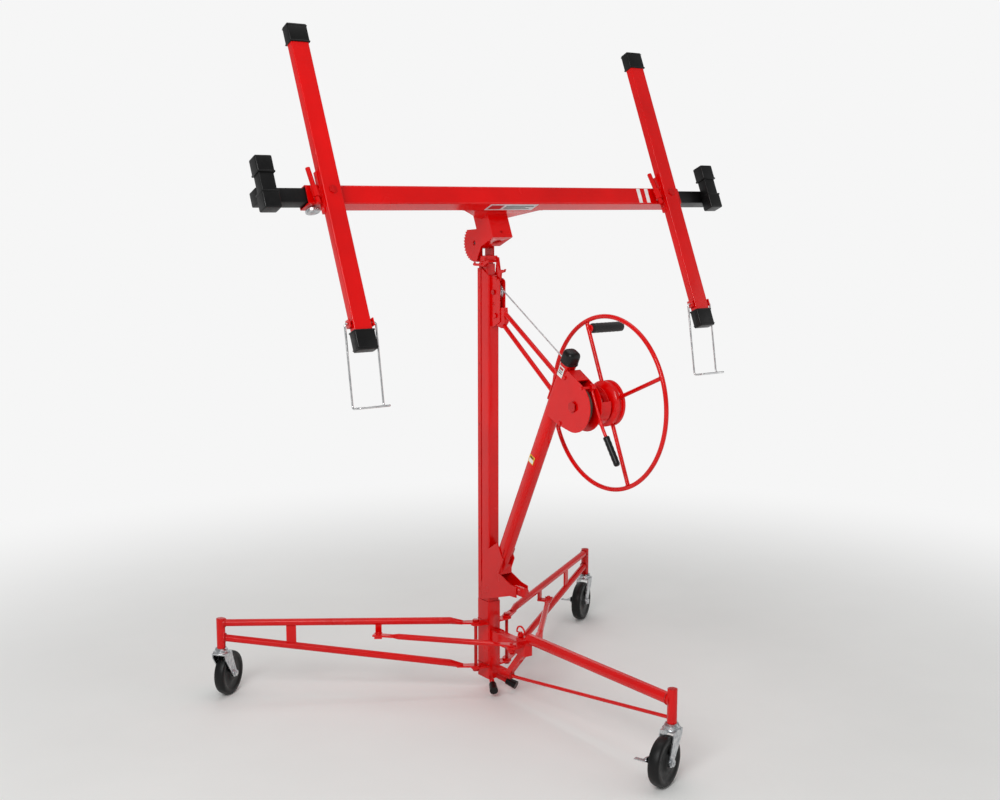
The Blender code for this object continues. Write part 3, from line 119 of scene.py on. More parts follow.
def finish(name, dark, light, rough, rough_spread, blotch_mm, grain_mm, grain_height_mm, stretch=(1, 1, 1),
           **shader):
    """A material whose colour and gloss drift over blotch_mm and whose surface has a grain of grain_mm."""
    material = bpy.data.materials.new(name)
    material.use_nodes = True
    tree = material.node_tree
    surface = tree.nodes["Principled BSDF"]
    for socket, value in shader.items():
        surface.inputs[socket.replace("_", " ")].default_value = value
    place = add_node(tree, "ShaderNodeTexCoord").outputs["Object"]
    place = add_node(tree, "ShaderNodeMapping", {"Vector": place, "Scale": stretch}).outputs["Vector"]
    blotch = add_node(tree, "ShaderNodeTexNoise",
                      {"Vector": place, "Scale": 1000 / blotch_mm, "Detail": 4.0, "Roughness": 0.6})
    colour = add_node(tree, "ShaderNodeValToRGB", {"Fac": blotch.outputs["Fac"]})
    for stop, at, hex_colour in zip(colour.color_ramp.elements, RAMP_STOPS, (dark, light)):
        stop.position, stop.color = at, linear(hex_colour)
    tree.links.new(colour.outputs["Color"], surface.inputs["Base Color"])
    patch = add_node(tree, "ShaderNodeTexNoise",
                     {"Vector": place, "Scale": GLOSS_PATCHES * 1000 / blotch_mm, "Detail": 5.0})
    gloss = add_node(tree, "ShaderNodeMapRange",
                     {"Value": patch.outputs["Fac"], "From Min": 0.3, "From Max": 0.7,
                      "To Min": rough - rough_spread, "To Max": rough + rough_spread})
    tree.links.new(gloss.outputs["Result"], surface.inputs["Roughness"])
    grain = add_node(tree, "ShaderNodeTexNoise", {"Vector": place, "Scale": 1000 / grain_mm, "Detail": 2.0})
    bump = add_node(tree, "ShaderNodeBump",
                    {"Height": grain.outputs["Fac"], "Distance": grain_height_mm / 1000, "Strength": 1.0})
    tree.links.new(bump.outputs["Normal"], surface.inputs["Normal"])
    return material


# Enamel sprayed on welded steel: a wet gloss with a faint orange peel. Its ripple is about 1 mm and is drawn at
# 3 mm, because a finer one wouldn't show.
RED_ENAMEL = finish("sprayed_red_enamel", "#cc0000", "#e40000", rough=0.24, rough_spread=0.04, blotch_mm=240,
                    grain_mm=3.0, grain_height_mm=0.008, IOR=1.5, Specular_IOR_Level=0.28,
                    Coat_Weight=0.12, Coat_Roughness=0.05, Coat_IOR=1.5)
# The same enamel where it pools over a weld or a bolt: a little darker.
RED_ENAMEL_POOLED = finish("pooled_red_enamel", "#b00000", "#cc0000", rough=0.26, rough_spread=0.05,
                           blotch_mm=40, grain_mm=2.0, grain_height_mm=0.02, IOR=1.5, Specular_IOR_Level=0.28,
                           Coat_Weight=0.12, Coat_Roughness=0.06, Coat_IOR=1.5)
# Bright zinc plate on pressed steel: a pale metal with cloudy blue-white patches.
ZINC = finish("bright_zinc_plate", "#a9adb2", "#dfe1e2", rough=0.30, rough_spread=0.09, blotch_mm=14,
              grain_mm=2.2, grain_height_mm=0.02, Metallic=1.0)
# Nickel-plated drawn wire of the hooks: smoother and brighter than the zinc.
WIRE_STEEL = finish("plated_hook_wire", "#c2c4c6", "#eeeeee", rough=0.20, rough_spread=0.06, blotch_mm=20,
                    grain_mm=1.5, grain_height_mm=0.01, Metallic=1.0)
# Wheels of moulded hard rubber: near black, a dull sheen and a fine pebbled skin.
WHEEL_RUBBER = finish("moulded_wheel_rubber", "#040404", "#0a0a0b", rough=0.42, rough_spread=0.08, blotch_mm=30,
                      grain_mm=1.6, grain_height_mm=0.05, IOR=1.52, Specular_IOR_Level=0.3)
# Caps and grips of moulded PVC: black, softly shining, with a faint texture from the mould.
CAP_VINYL = finish("moulded_cap_vinyl", "#030303", "#080809", rough=0.36, rough_spread=0.07, blotch_mm=40,
                   grain_mm=1.4, grain_height_mm=0.04, IOR=1.53, Specular_IOR_Level=0.3)
# Closed-cell foam of the handle: matt black with cells of about 1 mm, drawn at 2.2 mm.
GRIP_FOAM = finish("grip_foam", "#050505", "#0d0d0e", rough=0.80, rough_spread=0.06, blotch_mm=9,
                   grain_mm=2.2, grain_height_mm=0.35, IOR=1.45, Sheen_Weight=0.25)
# Powder coat of the outriggers: black, satin, with a fine sandy texture.
BLACK_POWDER = finish("black_powder_coat", "#040404", "#0b0b0c", rough=0.40, rough_spread=0.06, blotch_mm=50,
                      grain_mm=1.8, grain_height_mm=0.06, IOR=1.5, Specular_IOR_Level=0.3)
# Woven brake lining: grey-brown, matt and coarse.
BRAKE_LINING = finish("woven_brake_lining", "#3b342e", "#5c5148", rough=0.85, rough_spread=0.05, blotch_mm=6,
                      grain_mm=1.5, grain_height_mm=0.15, stretch=(3, 1, 1), IOR=1.5)


def label_film(name, dark, light, rough, blotch_mm=25):
    """Printed vinyl, almost flat: the faint ripple is the film over the enamel."""
    return finish(name, dark, light, rough, rough_spread=0.05, blotch_mm=blotch_mm, grain_mm=4.0,
                  grain_height_mm=0.01, IOR=1.5)


# The labels' white vinyl, silvered film, and yellow, red and black inks: plain colours with a soft shine.
LABEL_WHITE = label_film("label_white_vinyl", "#dcdcd8", "#f1f1ee", 0.36, blotch_mm=30)
LABEL_SILVER = label_film("label_silver_film", "#b9b9ba", "#dadadb", 0.34)
LABEL_YELLOW = label_film("label_yellow_vinyl", "#d79a00", "#ecb516", 0.38)
LABEL_RED = label_film("label_red_ink", "#a8121a", "#c21d26", 0.40)
LABEL_BLACK = label_film("label_black_ink", "#1a1a1c", "#2c2c2f", 0.45)
STUDIO_WHITE = "#f6f6f6"
FLOOR_KEEPS, FLOOR_GONE = 0.9, 3.2  # how far out the floor starts to fade to studio white, and has faded


def floor_paint():
    """Matt white board round the object, which lifts to the white of the studio further out."""
    material = finish("pale_floor_paint", "#efefed", "#f4f4f2", rough=0.80, rough_spread=0.04, blotch_mm=900,
                      grain_mm=6.0, grain_height_mm=0.02, IOR=1.45)
    tree = material.node_tree
    place = add_node(tree, "ShaderNodeTexCoord").outputs["Object"]
    away = add_node(tree, "ShaderNodeVectorMath", {0: place}, operation="LENGTH").outputs["Value"]
    fade = add_node(tree, "ShaderNodeMapRange",
                    {"Value": away, "From Min": FLOOR_KEEPS, "From Max": FLOOR_GONE},
                    interpolation_type="SMOOTHSTEP")
    glow = add_node(tree, "ShaderNodeEmission", {"Color": linear(STUDIO_WHITE)})
    both = add_node(tree, "ShaderNodeMixShader", {0: fade.outputs["Result"], 2: glow.outputs[0],
                                                  1: tree.nodes["Principled BSDF"].outputs[0]})
    tree.links.new(both.outputs[0], tree.nodes["Material Output"].inputs["Surface"])
    return material


# A diagonal wave repeats every 0.628 m / scale. The real lay of 6 mm is too fine to show, so this draws 24 mm.
STRAND_SCALE, STRAND_DEEP = 26.5393, 0.0006


def wire_rope():
    """Galvanised wire rope: grey metal whose strands show as a slanted twist."""
    material = finish("galvanised_wire_rope", "#b4b6b8", "#e2e3e4", rough=0.38, rough_spread=0.08, blotch_mm=12,
                      grain_mm=1.0, grain_height_mm=0.02, Metallic=0.7)
    tree = material.node_tree
    place = add_node(tree, "ShaderNodeTexCoord").outputs["Object"]
    strands = add_node(tree, "ShaderNodeTexWave", {"Vector": place, "Scale": STRAND_SCALE, "Distortion": 0.0},
                       wave_type="BANDS", bands_direction="DIAGONAL")
    bump = add_node(tree, "ShaderNodeBump",
                    {"Height": strands.outputs["Fac"], "Distance": STRAND_DEEP, "Strength": 1.0})
    tree.links.new(bump.outputs["Normal"], tree.nodes["Principled BSDF"].inputs["Normal"])
    return material


FLOOR_PAINT = floor_paint()
WIRE_ROPE = wire_rope()


# ---- shapes ------------------------------------------------------------------------------------
def piece(name, bm, body, material, nodes=(), sharp=40):
    """Makes the mesh a finished piece that rides on a body and stands for the CAD nodes."""
    bmesh.ops.remove_doubles(bm, verts=bm.verts, dist=1e-6)
    bmesh.ops.recalc_face_normals(bm, faces=bm.faces)
    mesh = bpy.data.meshes.new(name)
    bm.to_mesh(mesh)
    bm.free()
    mesh.materials.append(material)
    mesh.shade_smooth()
    mesh.set_sharp_from_angle(angle=radians(sharp))
    obj = shown(name, mesh)
    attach(obj, body)
    if nodes:
        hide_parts(*nodes)
    return obj


def dressed(node, material):
    """A CAD node's own shape with its doubles merged, flats kept flat and curves smooth."""
    bm = bmesh.new()
    bm.from_mesh(frame["nodes"][node].data)
    bmesh.ops.remove_doubles(bm, verts=bm.verts, dist=2e-6)
    bmesh.ops.dissolve_limit(bm, angle_limit=radians(0.4), verts=bm.verts, edges=bm.edges)
    body = frame["nodes"][node]["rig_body"]
    obj = piece(f"{node}_finished", bm, body, material, [node], sharp=50)
    flats = obj.modifiers.new("flats", "WEIGHTED_NORMAL")
    flats.keep_sharp = True


def moved(bm, made, matrix):
    """Moves what an operator has just made, and gives its vertices."""
    bmesh.ops.transform(bm, matrix=matrix, verts=made["verts"])
    return made["verts"]


def facing(start, way):
    """The place whose +Z points along way."""
    return Matrix.Translation(start) @ Vector(way).to_track_quat("Z", "Y").to_matrix().to_4x4()


def edges_of(verts):
    """The edges that meet the vertices, each once and always in the same order."""
    return list(dict.fromkeys(e for v in verts for e in v.link_edges))


def ease_edges(bm, edges, width, segments):
    """Rounds the edges over, and gives what that made."""
    return bmesh.ops.bevel(bm, geom=edges, offset=width, offset_type="OFFSET", segments=segments,
                           profile=0.5, affect="EDGES", material=-1)


def rod(bm, start, end, radius, sides=24, ease=0.0):
    """A round bar between two points, its end rims eased."""
    start, end = Vector(start), Vector(end)
    made = bmesh.ops.create_cone(bm, cap_ends=True, segments=sides, radius1=radius, radius2=radius,
                                 depth=(end - start).length)
    verts = moved(bm, made, facing((start + end) / 2, end - start))
    if ease:
        rims = [e for e in edges_of(verts) if any(len(f.verts) > 4 for f in e.link_faces)]
        ease_edges(bm, rims, ease, 3)


def block(bm, corner, opposite, place, ease=0.0, segments=3):
    """A block between two opposite corners, its edges eased, then placed."""
    low, high = Vector(map(min, corner, opposite)), Vector(map(max, corner, opposite))
    made = bmesh.ops.create_cube(bm, size=1.0)
    verts = moved(bm, made, Matrix.Translation((low + high) / 2) @ Matrix.Diagonal((*(high - low), 1.0)))
    if ease:
        rounded = ease_edges(bm, edges_of(verts), ease, segments)
        verts = list({v for f in rounded["faces"] for v in f.verts} | {v for v in verts if v.is_valid})
    bmesh.ops.transform(bm, matrix=place, verts=verts)


def turned(bm, profile, place, steps):
    """A closed profile of (distance along X, radius) turned round X, then placed."""
    before = set(bm.verts)
    verts = [bm.verts.new((x, r, 0.0)) for x, r in profile]
    edges = [bm.edges.new((a, b)) for a, b in zip(verts, verts[1:] + verts[:1])]
    bmesh.ops.spin(bm, geom=verts + edges, cent=(0, 0, 0), axis=(1, 0, 0), angle=2 * pi, steps=steps,
                   use_merge=True)
    bmesh.ops.transform(bm, matrix=place, verts=[v for v in bm.verts if v not in before])


def wire(bm, points, radius, sides):
    """A round wire drawn through points: one circle carried along and turned with the path."""
    ways = [((after - point).normalized() + (point - before).normalized()).normalized()
            for before, point, after in zip(points[:1] + points, points, points[1:] + points[-1:])]
    made = bmesh.ops.create_circle(bm, segments=sides, radius=radius)
    edges = first_edges = edges_of(moved(bm, made, facing(points[0], ways[0])))
    for i in range(1, len(points)):
        grown = bmesh.ops.extrude_edge_only(bm, edges=edges)["geom"]
        verts = [g for g in grown if isinstance(g, bmesh.types.BMVert)]
        edges = [g for g in grown if isinstance(g, bmesh.types.BMEdge) and all(v in verts for v in g.verts)]
        swing = ways[i - 1].rotation_difference(ways[i]).to_matrix().to_4x4()
        step = Matrix.Translation(points[i]) @ swing @ Matrix.Translation(-points[i - 1])
        bmesh.ops.transform(bm, matrix=step, verts=verts)
    bmesh.ops.edgeloop_fill(bm, edges=first_edges)
    bmesh.ops.edgeloop_fill(bm, edges=edges)


def bend(points, radius, steps=8):
    """The points with each inner corner replaced by a short arc."""
    path = [points[0]]
    for before, corner, after in zip(points, points[1:], points[2:]):
        start = corner + (before - corner).normalized() * radius
        end = corner + (after - corner).normalized() * radius
        for t in [i / steps for i in range(steps + 1)]:
            path.append(start * (1 - t) ** 2 + corner * 2 * t * (1 - t) + end * t ** 2)
    return path + [points[-1]]


def round_axle(x, axle, radius, angle):
    """The point at that angle and radius from an axle along X."""
    return Vector((x, axle.y + radius * cos(angle), axle.z + radius * sin(angle)))


def dome(bm, at, way, radius, height):
    """A rivet head or the round end of a screw."""
    made = bmesh.ops.create_uvsphere(bm, u_segments=16, v_segments=8, radius=1.0)
    moved(bm, made, facing(at, way) @ Matrix.Diagonal((radius, radius, height, 1.0)))


def hexagon(bm, at, way, across, high):
    """A bolt head on a washer."""
    at, way = Vector(at), Vector(way).normalized()
    washer_r, corner_r, sunk, washer_high = across * 0.68, across * 0.577, 0.0005, 0.0012
    rod(bm, at - way * sunk, at + way * washer_high, washer_r, ease=0.0004)
    rod(bm, at, at + way * high, corner_r, sides=6, ease=0.0006)


DROP_STEP = 1.15  # drops of weld lie this many of their radii apart


def drop(bm, place, bead):
    """One drop of weld."""
    moved(bm, bmesh.ops.create_uvsphere(bm, u_segments=8, v_segments=5, radius=bead), place)


def weld(bm, centre, way, radius, bead=0.0026):
    """A ring of weld round a tube: overlapping drops, one for each ripple."""
    count = max(6, int(2 * pi * radius / (bead * DROP_STEP)))
    for i in range(count):
        angle = 2 * pi * i / count
        drop(bm, facing(centre, way) @ Matrix.Translation((radius * cos(angle), radius * sin(angle), 0)), bead)


def seam(bm, start, end, bead):
    """A straight run of weld."""
    start, end = Vector(start), Vector(end)
    count = max(3, int((end - start).length / (bead * DROP_STEP)))
    for i in range(count + 1):
        drop(bm, Matrix.Translation(start.lerp(end, i / count)), bead)


# ---- pieces that keep the CAD shape -------------------------------------------------------------
KEPT_SHAPES = (
    (RED_ENAMEL, "red_paint", (
        "base_hub", "left_leg", "right_leg", "centre_leg", "left_link", "right_link", "ring_pin", "outer_mast",
        "mast_spine", "middle_mast", "inner_mast", "mast_latch", "winch_post", "post_brace", "winch_housing",
        "drum_guard", "cable_drum", "brake_lever", "crossbar", "tilt_latch", "left_arm", "right_arm",
        "left_arm_lock", "right_arm_lock")),
    (RED_ENAMEL_POOLED, "red_paint", (
        "left_hinge_bolt", "right_hinge_bolt", "left_arm_pin", "right_arm_pin", "pulley_bolt", "winch_shaft")),
    (ZINC, "zinc_plate", (
        "left_caster_fork", "right_caster_fork", "front_caster_fork", "right_brake", "front_brake",
        "lift_pulley", "tilt_bolt")),
    (CAP_VINYL, "black_rubber", ("left_foot_tip", "right_foot_tip")),
    (BLACK_POWDER, "black_paint", ("brake_drum",)))
for material, slot, nodes in KEPT_SHAPES:
    for node in nodes:
        dressed(node, material)

# ---- casters -----------------------------------------------------------------------------------
WHEEL_R, WHEEL_HALF, TREAD_CROWN = 0.0635, 0.015, 0.0052
TREAD = [(WHEEL_HALF * cos(radians(a)), WHEEL_R - TREAD_CROWN + TREAD_CROWN * sin(radians(a)))
         for a in range(0, 181, 20)]
# (how deep in the wheel's side, radius): from the tyre down into the dish and out again over the hub
DISH = ((0.0, 0.0495), (0.0012, 0.0475), (0.0030, 0.0435), (0.0030, 0.0260), (0.0006, 0.0225),
        (-0.0010, 0.0200), (-0.0017, 0.0165), (-0.0017, 0.0066))
# (height, radius): the ball race under the fork's top plate
RACE = [(0.1318, 0.0060), (0.1318, 0.0222), (0.1334, 0.0238), (0.1362, 0.0242), (0.1384, 0.0228),
        (0.1396, 0.0200), (0.1420, 0.0192), (0.1440, 0.0186), (0.1440, 0.0060)]
KINGPIN_Z = 0.1312
NUT_OUT, NUT_ACROSS, NUT_HIGH = 0.0206, 0.0165, 0.0064
for word in ("left", "right", "front"):
    swivel, axle = JOINT_AT[f"{word}_caster_swivel"], JOINT_AT[f"{word}_wheel_roll"]
    heading = atan2(axle.y - swivel.y, axle.x - swivel.x)
    at_axle = Matrix.Translation(axle) @ Matrix.Rotation(heading + pi / 2, 4, "Z")  # its +X is the axle
    bm = bmesh.new()
    face = [(deep - WHEEL_HALF, radius) for deep, radius in DISH]
    turned(bm, TREAD + face + [(-x, radius) for x, radius in reversed(face)], at_axle, 72)
    piece(f"{word}_wheel_tyre", bm, f"{word}_wheel", WHEEL_RUBBER, [f"{word}_caster_wheel"])

    bm = bmesh.new()
    upright = Matrix.Translation((swivel.x, swivel.y, 0.0)) @ Matrix.Rotation(-pi / 2, 4, "Y")  # its +X is up
    turned(bm, RACE, upright, 48)
    dome(bm, (swivel.x, swivel.y, KINGPIN_Z), (0, 0, -1), 0.0080, 0.0034)
    piece(f"{word}_swivel_race", bm, f"{word}_caster", ZINC)

    bm = bmesh.new()
    for side in (-1, 1):
        across = at_axle.to_3x3() @ Vector((side, 0, 0))
        hexagon(bm, axle + across * NUT_OUT, across, NUT_ACROSS, NUT_HIGH)
        dome(bm, axle + across * (NUT_OUT + 0.0062), across, 0.0040, 0.0018)
    piece(f"{word}_axle_nuts", bm, f"{word}_caster", ZINC)

# ---- base --------------------------------------------------------------------------------------
POST_R, POST_TOP_Z = 0.0125, 0.2358
for word in ("left", "right"):
    hinge, post = JOINT_AT[f"{word}_leg_fold"], JOINT_AT[f"{word}_caster_swivel"].copy()
    along = (post - hinge).normalized()
    along.z = post.z = 0.0
    bm = bmesh.new()
    for tube_z in (0.2229, 0.1795):
        weld(bm, post - along * POST_R + Vector((0, 0, tube_z)), -along, 0.0108)
    dome(bm, (post.x, post.y, POST_TOP_Z), (0, 0, 1), POST_R, 0.0016)
    piece(f"{word}_leg_welds", bm, f"{word}_leg", RED_ENAMEL_POOLED)
bm = bmesh.new()
post = JOINT_AT["front_caster_swivel"]
weld(bm, (0, post.y + 0.0122, 0.2069), (0, 1, 0), 0.0148)
weld(bm, (0, post.y + POST_R, 0.1602), (0, 1, 0), 0.0054, 0.0018)
dome(bm, (0, post.y, POST_TOP_Z), (0, 0, 1), POST_R, 0.0016)
# (x, z, start and end from the mast's middle, bead) of each seam on the hub's lugs and column
HUB_SEAMS = ((0.0130, 0.1865, -0.0325, -0.060, 0.0018), (0.0130, 0.1500, -0.0325, -0.060, 0.0018),
             (0.0206, 0.2100, 0.0225, -0.030, 0.0020), (0.0206, 0.0800, 0.0225, -0.030, 0.0020))
for x, z, start, end, bead in HUB_SEAMS:
    for side in (-1, 1):
        seam(bm, (side * x, MAST_Y + start, z), (side * x, MAST_Y + end, z), bead)
piece("hub_welds", bm, "base", RED_ENAMEL_POOLED)

# ---- mast --------------------------------------------------------------------------------------
bm = bmesh.new()
spine_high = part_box("mast_spine")[1]
for z in (0.300, 0.484, 0.668, 0.785, 0.960, 1.109, 1.175, 1.222):
    for side in (-1, 1):
        dome(bm, (side * spine_high.x, spine_high.y - 0.0075, z), (side, 0, 0), 0.0034, 0.0014)
piece("spine_rivets", bm, "base", RED_ENAMEL_POOLED)

PULLEY = JOINT_AT["lift_pulley_turn"]
bm = bmesh.new()
for y, z in ((PULLEY.y, 1.165), (MAST_Y - 0.0510, 1.100), (MAST_Y - 0.0425, 1.132)):
    for side in (-1, 1):
        dome(bm, (side * 0.0100, y, z), (side, 0, 0), 0.0046, 0.0022)
piece("bracket_rivets", bm, "base", RED_ENAMEL_POOLED)

# ---- winch -------------------------------------------------------------------------------------
SHAFT, PEG = JOINT_AT["winch_turn"], JOINT_AT["wheel_handle_spin"]
at_shaft = Matrix.Translation((0, SHAFT.y, SHAFT.z))
RIM_R, RIM_WIRE_R, SPOKE_R, RIM_X, HUB_R = 0.229, 0.0060, 0.0055, 0.094, 0.061
RIM = [(RIM_X + RIM_WIRE_R * cos(radians(a)), RIM_R + RIM_WIRE_R * sin(radians(a))) for a in range(0, 360, 24)]
# two pressed dishes seamed rim to rim, with a boss on each side
HUB = [(0.0660, 0.0083), (0.0660, 0.0290), (0.0672, 0.0310), (0.0690, 0.0460), (0.0712, 0.0510),
       (0.0760, 0.0590), (0.0780, HUB_R), (0.0860, HUB_R), (0.0880, 0.0570), (0.0900, 0.0540),
       (0.0925, 0.0528), (0.0950, 0.0540), (0.0970, 0.0570), (0.0985, HUB_R), (0.1050, HUB_R),
       (0.1072, 0.0588), (0.1120, 0.0500), (0.1150, 0.0440), (0.1165, 0.0400), (0.1180, 0.0300),
       (0.1180, 0.0240), (0.1200, 0.0215), (0.1200, 0.0083)]
bm = bmesh.new()
turned(bm, RIM, at_shaft, 144)
turned(bm, HUB, at_shaft, 72)
wheel_centre = Vector((RIM_X, SHAFT.y, SHAFT.z))
first_spoke = atan2(PEG.z - SHAFT.z, PEG.y - SHAFT.y)
spokes = [Vector((0, cos(first_spoke + k * pi / 2), sin(first_spoke + k * pi / 2))) for k in range(4)]
for out in spokes:
    rod(bm, wheel_centre + out * (HUB_R - 0.014), wheel_centre + out * (RIM_R - 0.001), SPOKE_R, sides=20)
for start, end, radius in ((-0.004, 0.1215, 0.0050), (0.003, 0.009, 0.010)):  # the handle's peg and its collar
    rod(bm, (RIM_X + start, PEG.y, PEG.z), (RIM_X + end, PEG.y, PEG.z), radius, ease=0.001)
piece("winch_hand_wheel", bm, "winch_wheel", RED_ENAMEL, ["hand_wheel"])
bm = bmesh.new()
for out in spokes:
    weld(bm, wheel_centre + out * (RIM_R - RIM_WIRE_R + 0.0006), out, SPOKE_R, 0.0017)
    weld(bm, wheel_centre + out * (HUB_R - 0.0072), out, SPOKE_R, 0.0019)
piece("hand_wheel_welds", bm, "winch_wheel", RED_ENAMEL_POOLED)

FOAM_ROLLS, ROLL_LONG = 7, 0.0140  # shallow rolls squeezed into the foam
foam = [(0.0, 0.0085), (0.0008, 0.0112), (0.0030, 0.0130)]
for k in range(FOAM_ROLLS):
    foam += [(0.008 + ROLL_LONG * k, 0.0136), (0.015 + ROLL_LONG * k, 0.0131)]
foam += [(0.1050, 0.0130), (0.1072, 0.0112), (0.1080, 0.0088), (0.1080, 0.0053), (0.0, 0.0053)]
bm = bmesh.new()
turned(bm, foam, Matrix.Translation((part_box("handle_grip")[0].x, PEG.y, PEG.z)), 40)
piece("handle_foam", bm, "wheel_handle", GRIP_FOAM, ["handle_grip"], sharp=60)

DRUM_FROM, DRUM_TO, DRUM_CORE_R, PULLEY_GROOVE_R, CABLE_R = 0.0340, 0.0610, 0.026, 0.019, 0.002
LAY_FROM, LAY_PITCH, LAY_TURNS, LAY_STEPS = DRUM_FROM + 0.0052, 0.0041, 4, 36
drum_r, pulley_r = DRUM_CORE_R + CABLE_R, PULLEY_GROOVE_R + CABLE_R
lay = [round_axle(LAY_FROM + LAY_PITCH * t / LAY_STEPS, SHAFT, drum_r, 2 * pi * t / LAY_STEPS)
       for t in range(LAY_STEPS * LAY_TURNS + 1)]
bm = bmesh.new()
wire(bm, lay, CABLE_R * 0.97, 10)  # a shade thin, so that one turn shows apart from the next
piece("drum_cable_lay", bm, "winch_wheel", WIRE_ROPE)

# the run of cable from the drum over the pulley and down into the mast
GAP = 0.0003
run = Vector((PULLEY.y - SHAFT.y, PULLEY.z - SHAFT.z))
lean = atan2(run.y, run.x) + pi / 2 - asin((pulley_r - drum_r) / run.length)
path = [round_axle((DRUM_FROM + DRUM_TO) / 2, SHAFT, drum_r + GAP, lean)]
path += [round_axle(0, PULLEY, pulley_r + GAP, lean * (1 - i / 24)) for i in range(25)]
HANG_FROM_Z, LUG_TOP_Z, LIFT_MOST = 1.100, 0.0823, 0.95
hang_from, lug_top = Vector((0, path[-1].y, HANG_FROM_Z)), Vector((0, path[-1].y, LUG_TOP_Z))
bm = bmesh.new()
wire(bm, path + [hang_from], CABLE_R, 12)
piece("lift_cable_rope", bm, "base", WIRE_ROPE, ["lift_cable"])
# the hanging run inside the mast, which shortens as the winch takes it up
bm = bmesh.new()
wire(bm, [hang_from.lerp(lug_top, i / 12) for i in range(13)], CABLE_R, 12)
hanging = piece("lift_cable_hanging_run", bm, "base", WIRE_ROPE)
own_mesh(hanging)

# the housing's bolt heads, and the lining under the brake's band
bm = bmesh.new()
for y, z in ((0.036, 0.0725), (0.056, -0.050)):
    for side in (-1, 1):
        hexagon(bm, (side * 0.0208, SHAFT.y + y, SHAFT.z + z), (side, 0, 0), 0.0085, 0.0032)
piece("housing_bolts", bm, "base", RED_ENAMEL_POOLED)
LINING_FROM, LINING_TO, LINING_R0, LINING_R1 = -0.0125, 0.0015, 0.0502, 0.0516
bm = bmesh.new()
turned(bm, [(LINING_FROM, LINING_R0), (LINING_TO, LINING_R0), (LINING_TO, LINING_R1), (LINING_FROM, LINING_R1)],
       at_shaft, 64)
piece("brake_lining_band", bm, "winch_wheel", BRAKE_LINING)

# the brake lever's grip: a dipped vinyl sleeve with finger rolls and a round end
GRIP_LONG, GRIP_ROLLS, GRIP_ROLL_LONG = 0.078, 5, 0.0135
lever_pin = JOINT_AT["winch_brake_swing"]
knee, tip = lever_pin + Vector((0.0112, -0.040, -0.092)), lever_pin + Vector((0.0152, -0.100, -0.187))
way = (tip - knee).normalized()
sleeve = [(0.0, 0.0052), (0.0, 0.0074), (0.0012, 0.0086)]
for k in range(GRIP_ROLLS):
    sleeve += [(0.006 + GRIP_ROLL_LONG * k, 0.0087), (0.0125 + GRIP_ROLL_LONG * k, 0.0080)]
sleeve += [(0.0745, 0.0086), (0.0785, 0.0078), (0.0810, 0.0056), (0.0818, 0.0028), (0.0819, 0.0003),
           (0.0790, 0.0003), (0.0785, 0.0052)]
bm = bmesh.new()
turned(bm, sleeve, facing(tip - way * GRIP_LONG, way) @ Matrix.Rotation(-pi / 2, 4, "Y"), 32)
piece("brake_lever_grip", bm, "winch_brake", CAP_VINYL, ["lever_grip"], sharp=60)

# ---- winch post --------------------------------------------------------------------------------
POST_LEAN, POST_HALF, POST_FOOT_Z = 26.5, 0.018, 0.301
at_post = Matrix.Translation((0, MAST_Y - 0.022, POST_FOOT_Z)) @ Matrix.Rotation(radians(POST_LEAN), 4, "X")
CAP_HALF, CAP_CORNER_R, CAP_LOW, CAP_TOP = 0.021, 0.0150, 0.778, 0.8142
CAP_AND_LIP = ((CAP_HALF, CAP_LOW, CAP_TOP, 0.0125), (CAP_HALF + 0.0006, 0.7778, 0.7822, 0.0012))
bm = bmesh.new()
for half, low, top, crown in CAP_AND_LIP:
    made = bmesh.ops.create_cube(bm, size=1.0)
    size = Matrix.Diagonal((2 * half, 2 * half, top - low, 1.0))
    verts = moved(bm, made, Matrix.Translation((0, 0, (low + top) / 2)) @ size)
    uprights = [e for e in edges_of(verts) if abs(e.verts[0].co.z - e.verts[1].co.z) > 0.001]
    ease_edges(bm, uprights, CAP_CORNER_R, 8)
    rim = [e for e in bm.edges if all(abs(v.co.z - top) < 1e-6 for v in e.verts)]
    ease_edges(bm, rim, crown, 6)
bmesh.ops.transform(bm, matrix=at_post, verts=bm.verts)
piece("post_end_cap", bm, "base", CAP_VINYL, ["post_cap"])
bm = bmesh.new()
for z in (0.655, 0.742):  # where the stays' plate meets the post
    seam(bm, at_post @ Vector((-0.014, 0.0192, z)), at_post @ Vector((0.014, 0.0192, z)), 0.0018)
for x in (-0.0182, 0.0182):  # where the foot's gusset meets the post
    for y, z in ((-0.012, 0.160), (0.012, 0.150)):
        seam(bm, at_post @ Vector((x, y, 0.100)), at_post @ Vector((x, y, z)), 0.0020)
piece("post_welds", bm, "base", RED_ENAMEL_POOLED)

FILM = 0.0003


def label(name, body, place, width, height, ground, bars=()):
    """A printed film in the XY plane of place; its bars are (x0, x1, y0, y1, ink) in parts of its size."""
    bm = bmesh.new()
    block(bm, (-width / 2, -height / 2, -FILM), (width / 2, height / 2, FILM), place, 0.0001, 1)
    piece(name, bm, body, ground)
    for i, (x0, x1, y0, y1, ink) in enumerate(bars):
        bm = bmesh.new()
        block(bm, (x0 * width, y0 * height, FILM * 0.5), (x1 * width, y1 * height, FILM * 1.5), place)
        piece(f"{name}_bar_{i + 1}", bm, body, ink)


